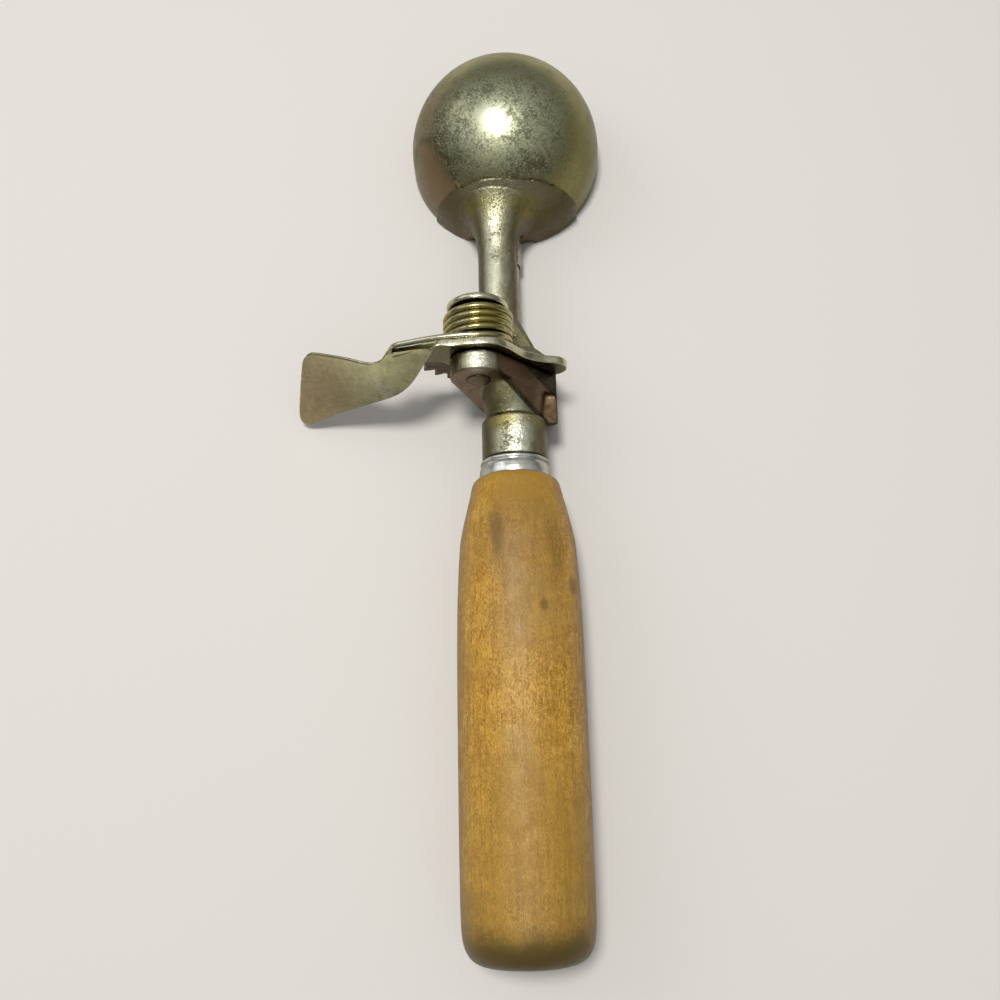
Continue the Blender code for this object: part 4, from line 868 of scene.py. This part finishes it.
def spring():
    """Wire: hook at the lever's notch, a leg behind its top edge, a close coil and a leg into the shank.

    In the coil, x = px + R cos a, z = pz + R sin a, and y grows by one pitch in each turn, after a
    first quarter turn that steps off the lever. The lower turns lean: y + lean cos a, less each turn.
    """
    turn = np.linspace(0, COIL_TURNS, 300)
    angle = np.pi / 2 - 2 * np.pi * turn
    radius = COIL_RADIUS + LAST_HALF_TURN_OUT * np.clip(turn - COIL_TURNS + 0.5, 0, 0.5) / 0.5
    first = np.clip(turn / 0.25, 0, 1)
    along = COIL_START_Y + COIL_STEP_OFF * first ** 2 * (3 - 2 * first) + COIL_PITCH * turn
    along += COIL_LEAN * np.cos(angle) * (1 - turn / COIL_TURNS) * first
    coil = np.stack([PIVOT_X + radius * np.cos(angle), along, PIVOT_Z + radius * np.sin(angle)], axis=1)
    hook = [(-35.1, 154.2, 11.0), (-34.4, 155.3, 11.1), (-33.4, 156.05, 12.5), (-31.95, 156.2, 14.85)]
    lead = [(-27.75, 156.2, 16.6), (-21.95, 156.2, 18.6), (-16.3, 156.25, 19.75), (-12.6, 156.3, 20.12)]
    start = smooth_path(hook + lead + [tuple(coil[0])], 0.5)
    leg = np.linspace(coil[-1], (coil[-1][0], coil[-1][1], FIXED_LEG_BOTTOM), 24)[1:]
    thin = np.linspace(LEAD_RADIUS, WIRE_RADIUS, len(start) - 1)
    size = np.concatenate([thin, np.full(len(coil) + len(leg), WIRE_RADIUS)])
    obj = tube("wound_spring", np.concatenate([start[:-1], coil, leg]), size, 18)
    obj.data.materials.append(spring_steel)
    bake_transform(obj)
    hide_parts("return_spring")
    return obj


# The lever's blank, in mm: across and above the pivot for the arm, and along and down its face for the pad
TAIL_MIDDLE = (20.6, -6.98)
TAIL_RADIUS = 4.1
ARM_TOP = [(17.4, -1.9), (14.0, 0.0), (11.6, 2.3), (9.4, 5.3), (7.2, 7.9), (4.8, 9.6), (1.2, 10.1),
           (-3.1, 9.6), (-7.3, 8.8), (-11.4, 9.5)]
ARM_BOTTOM = [(16.0, -11.0), (12.0, -10.2), (7.6, -7.0), (3.4, -8.0), (0.0, -8.3), (-4.2, -7.2), (-7.3, -4.0),
              (-10.0, -1.4), (-15.0, -1.0), (-21.5, -1.0), (-23.6, 0.2), (-23.9, 2.2), (-23.1, 4.1)]
PAD_FRONT = [(-12.1, -8.9), (-11.6, -5.3), (-10.3, -1.6), (-7.7, 5.8), (-3.9, 11.4), (3.6, 17.5),
             (12.9, 24.8), (19.9, 31.1), (21.8, 32.3), (23.3, 31.8), (24.0, 29.6), (24.2, 25.0),
             (24.22, 22.0)]
PAD_REAR = [(-1.2, -2.3), (0.5, 0.9), (2.6, 3.8), (5.6, 5.3), (12.0, 6.0), (20.6, 7.6), (22.6, 8.5),
            (23.8, 10.4), (24.1, 15.0), (24.22, 22.0)]
PAD_ROOT = (-34.0, 154.0, PIVOT_Z + 2.1)
PAD_YAW = math.radians(20.9)
PAD_TILT = math.radians(58.5)
LEVER_FRONT_Y = 153.0
ARM_HALF = 1.1  # half the sheet's thickness, thinner at the pad
PAD_HALF = 0.7
RIM_CORNER = 0.34
PAD_HOLLOW = 0.45  # by which the middle of the pad's width is sunk
STATIONS_ARM = 100
STATIONS_PAD = 130


def spaced(points, count):
    """The curve through the points, at equal steps of its length."""
    line = smooth_path(points, 0.4)
    run = np.concatenate([[0.0], np.cumsum(np.linalg.norm(np.diff(line, axis=0), axis=1))])
    want = np.linspace(0, run[-1], count)
    return np.stack([np.interp(want, run, line[:, k]) for k in range(line.shape[1])], axis=1)


def on_arm(points):
    p = np.asarray(points, float)
    return np.stack([PIVOT_X + p[:, 0], np.full(len(p), LEVER_FRONT_Y + ARM_HALF), PIVOT_Z + p[:, 1]], axis=1)


def on_pad(points):
    """Root + a times the pad's length direction + b times the direction down its face."""
    along = np.array([-math.cos(PAD_YAW), math.sin(PAD_YAW), 0.0])
    down = np.array([-math.sin(PAD_YAW) * math.cos(PAD_TILT), -math.cos(PAD_YAW) * math.cos(PAD_TILT),
                     -math.sin(PAD_TILT)])
    p = np.asarray(points, float)
    return np.array(PAD_ROOT) + p[:, :1] * along + p[:, 1:] * down, np.cross(along, down)


def tail_arc(degrees):
    """The round end of the tail, from level through the given angle, in the arm's own plane."""
    angle = np.linspace(0, math.radians(degrees), 8)[:, None]
    return np.array(TAIL_MIDDLE) + TAIL_RADIUS * np.concatenate([np.cos(angle), np.sin(angle)], axis=1)


def eased_over_fold(edge):
    """The edge, smoothed round the fold with a bell of 3.5 stations' width."""
    reach = 24
    bell = np.exp(-0.5 * (np.arange(-reach, reach + 1) / 3.5) ** 2)
    padded = np.pad(edge, ((reach, reach), (0, 0)), mode="edge")
    soft = np.stack([np.convolve(padded[:, k], bell / bell.sum(), mode="valid") for k in range(3)], axis=1)
    near_fold = np.clip(1 - np.abs(np.arange(len(edge)) - STATIONS_ARM) / 40, 0, 1)[:, None] ** 0.5
    return edge * (1 - near_fold) + soft * near_fold


def out_of(edge, other, normal):
    """Direction that leads out of the sheet over an edge, at each station."""
    out = np.cross(np.gradient(edge, axis=0), normal)
    out /= np.linalg.norm(out, axis=1)[:, None]
    middle = STATIONS_ARM // 2
    return out * np.sign(out[middle] @ (edge[middle] - other[middle]))


def lever():
    """One ribbon of sheet from the tail over the hub to the tip of the thumb pad.

    Its middle face at (s, t) = top edge(s) + t (bottom edge(s) - top edge(s)). It lies in the arm's plane
    up to the fold and in the pad's plane after it, and both edges are smoothed along s over the fold.
    Each station's closed ring is the face at plus and minus half the thickness along the normal, joined
    by flat rims with rounded corners. The stations start and end where the two edges meet.
    """
    edges = []
    for tip, arm, pad in ((tail_arc(78), ARM_TOP, PAD_FRONT), (tail_arc(-90), ARM_BOTTOM, PAD_REAR)):
        arm_line = on_arm(spaced(np.concatenate([tip, arm]), STATIONS_ARM))
        pad_line, pad_normal = on_pad(spaced(pad, STATIONS_PAD))
        edges.append(eased_over_fold(np.concatenate([arm_line, pad_line])))
    top, bottom = edges
    count = STATIONS_ARM + STATIONS_PAD
    s = np.arange(count)
    past_fold = np.clip((s - STATIONS_ARM + 8) / 16, 0, 1)
    past_fold = (past_fold ** 2 * (3 - 2 * past_fold))[:, None]
    normal = (1 - past_fold) * np.array(FRONT) + past_fold * pad_normal
    normal /= np.linalg.norm(normal, axis=1)[:, None]
    half = (1 - past_fold) * ARM_HALF + past_fold * PAD_HALF
    top_out = out_of(top, bottom, normal)
    bottom_out = out_of(bottom, top, normal)
    top_in = top - top_out * RIM_CORNER
    bottom_in = bottom - bottom_out * RIM_CORNER
    across = np.linspace(0, 1, 25)[:, None, None]
    face = top_in[None] + across * (bottom_in - top_in)[None]
    to_tip = np.clip((count - s) / 60, 0, 1)[None, :, None]
    face = face - normal[None] * PAD_HOLLOW * 4 * across * (1 - across) * past_fold[None] * to_tip
    turn = np.linspace(0, math.pi / 2, 4)[1:, None, None]

    def rim(inner, out):
        """Front corner, flat edge and back corner of a rim."""
        level = (half - RIM_CORNER) * normal
        front = inner + level + RIM_CORNER * (np.cos(turn) * normal + np.sin(turn) * out)
        back = inner - level + RIM_CORNER * (-np.cos(turn) * normal + np.sin(turn) * out)
        return np.concatenate([front, back[::-1]])

    rings = np.concatenate([face[::-1] + half * normal, rim(top_in, top_out), face - half * normal,
                            rim(bottom_in, bottom_out)[::-1]])
    obj = grid_object("stamped_lever", rings, smooth_angle=50)
    return dress(obj, nickel, "lever", "nickel", "thumb_lever")


handle()
bowl()
casting()
ferrule()
stud_pieces()
spring()
lever()
for node_name, finish_material in (("gear_sector", sector_steel_painted_shade), ("pinion", dull_steel),
                                   ("scraper_shaft", worn_steel), ("scraper_blade", aged_plate),
                                   ("blade_pivot_pin", dull_steel), ("shaft_bearing", worn_steel),
                                   ("sector_rivet_left", dull_steel), ("sector_rivet_right", dull_steel)):
    repaint(node_name, finish_material)


# Floor, lights and camera

def floor():
    """A pale square just under the bowl's rim."""
    mesh = bpy.data.meshes.new("floor")
    half = 3.0
    level = (RIM_Z - 0.03) * MM
    mesh.from_pydata([(-half, -half, level), (half, -half, level), (half, half, level), (-half, half, level)],
                     [], [(0, 1, 2, 3)])
    obj = placed("floor", mesh)
    made = bpy.data.materials.new("pale_floor")
    made.use_nodes = True
    shader = made.node_tree.nodes["Principled BSDF"]
    shader.inputs["Base Color"].default_value = (0.74, 0.72, 0.69, 1.0)
    shader.inputs["Roughness"].default_value = 0.9
    shader.inputs["Specular IOR Level"].default_value = 0.1
    mesh.materials.append(made)


def area_light(name, direction, distance, size, power, colour=(1.0, 1.0, 1.0)):
    """A round lamp at a distance from the scoop's middle, facing it."""
    data = bpy.data.lights.new(name, "AREA")
    data.shape = "DISK"
    data.size = size
    data.energy = power
    data.color = colour
    obj = placed(name, data)
    target = Vector((0.0, 0.17, 0.0))
    away = Vector(direction).normalized()
    obj.location = target + away * distance
    obj.rotation_mode = "QUATERNION"
    obj.rotation_quaternion = away.to_track_quat("Z", "Y")


def light():
    """A small key lamp overhead, a soft one on the left and a sky that is brighter upwards."""
    area_light("key", (-0.125, 0.03, 1.0), 1.1, 0.25, 8.0, (1.0, 0.98, 0.94))
    area_light("soft_side", (-0.75, 0.35, 0.6), 1.6, 1.0, 3.0)
    world = bpy.data.worlds.new("studio")
    world.use_nodes = True
    shader = Shader(world.node_tree)
    place = shader.node("ShaderNodeTexCoord").outputs["Generated"]
    up = shader.node("ShaderNodeSeparateXYZ", {0: place}).outputs["Z"]
    sky = shader.mix(shader.spread(up, 0.0, 0.9), (0.10, 0.10, 0.10), (0.52, 0.52, 0.52))
    shader.tree.links.new(sky, world.node_tree.nodes["Background"].inputs["Color"])
    world.node_tree.nodes["Background"].inputs["Strength"].default_value = 0.8
    bpy.context.scene.world = world


def camera():
    """The photograph's own viewpoint: above the butt, looking 73 degrees down towards the bowl."""
    data = bpy.data.cameras.new("photo_view")
    data.sensor_width = 36.0
    data.lens = 35.646
    data.clip_start = 0.01
    obj = placed("photo_view", data)
    obj.location = (-0.006321, 0.036601, 0.2588)
    obj.rotation_euler = (math.radians(17.134), 0.0, math.radians(-1.35))
    bpy.context.scene.camera = obj


floor()
light()
camera()
bpy.context.scene.view_settings.view_transform = "Standard"
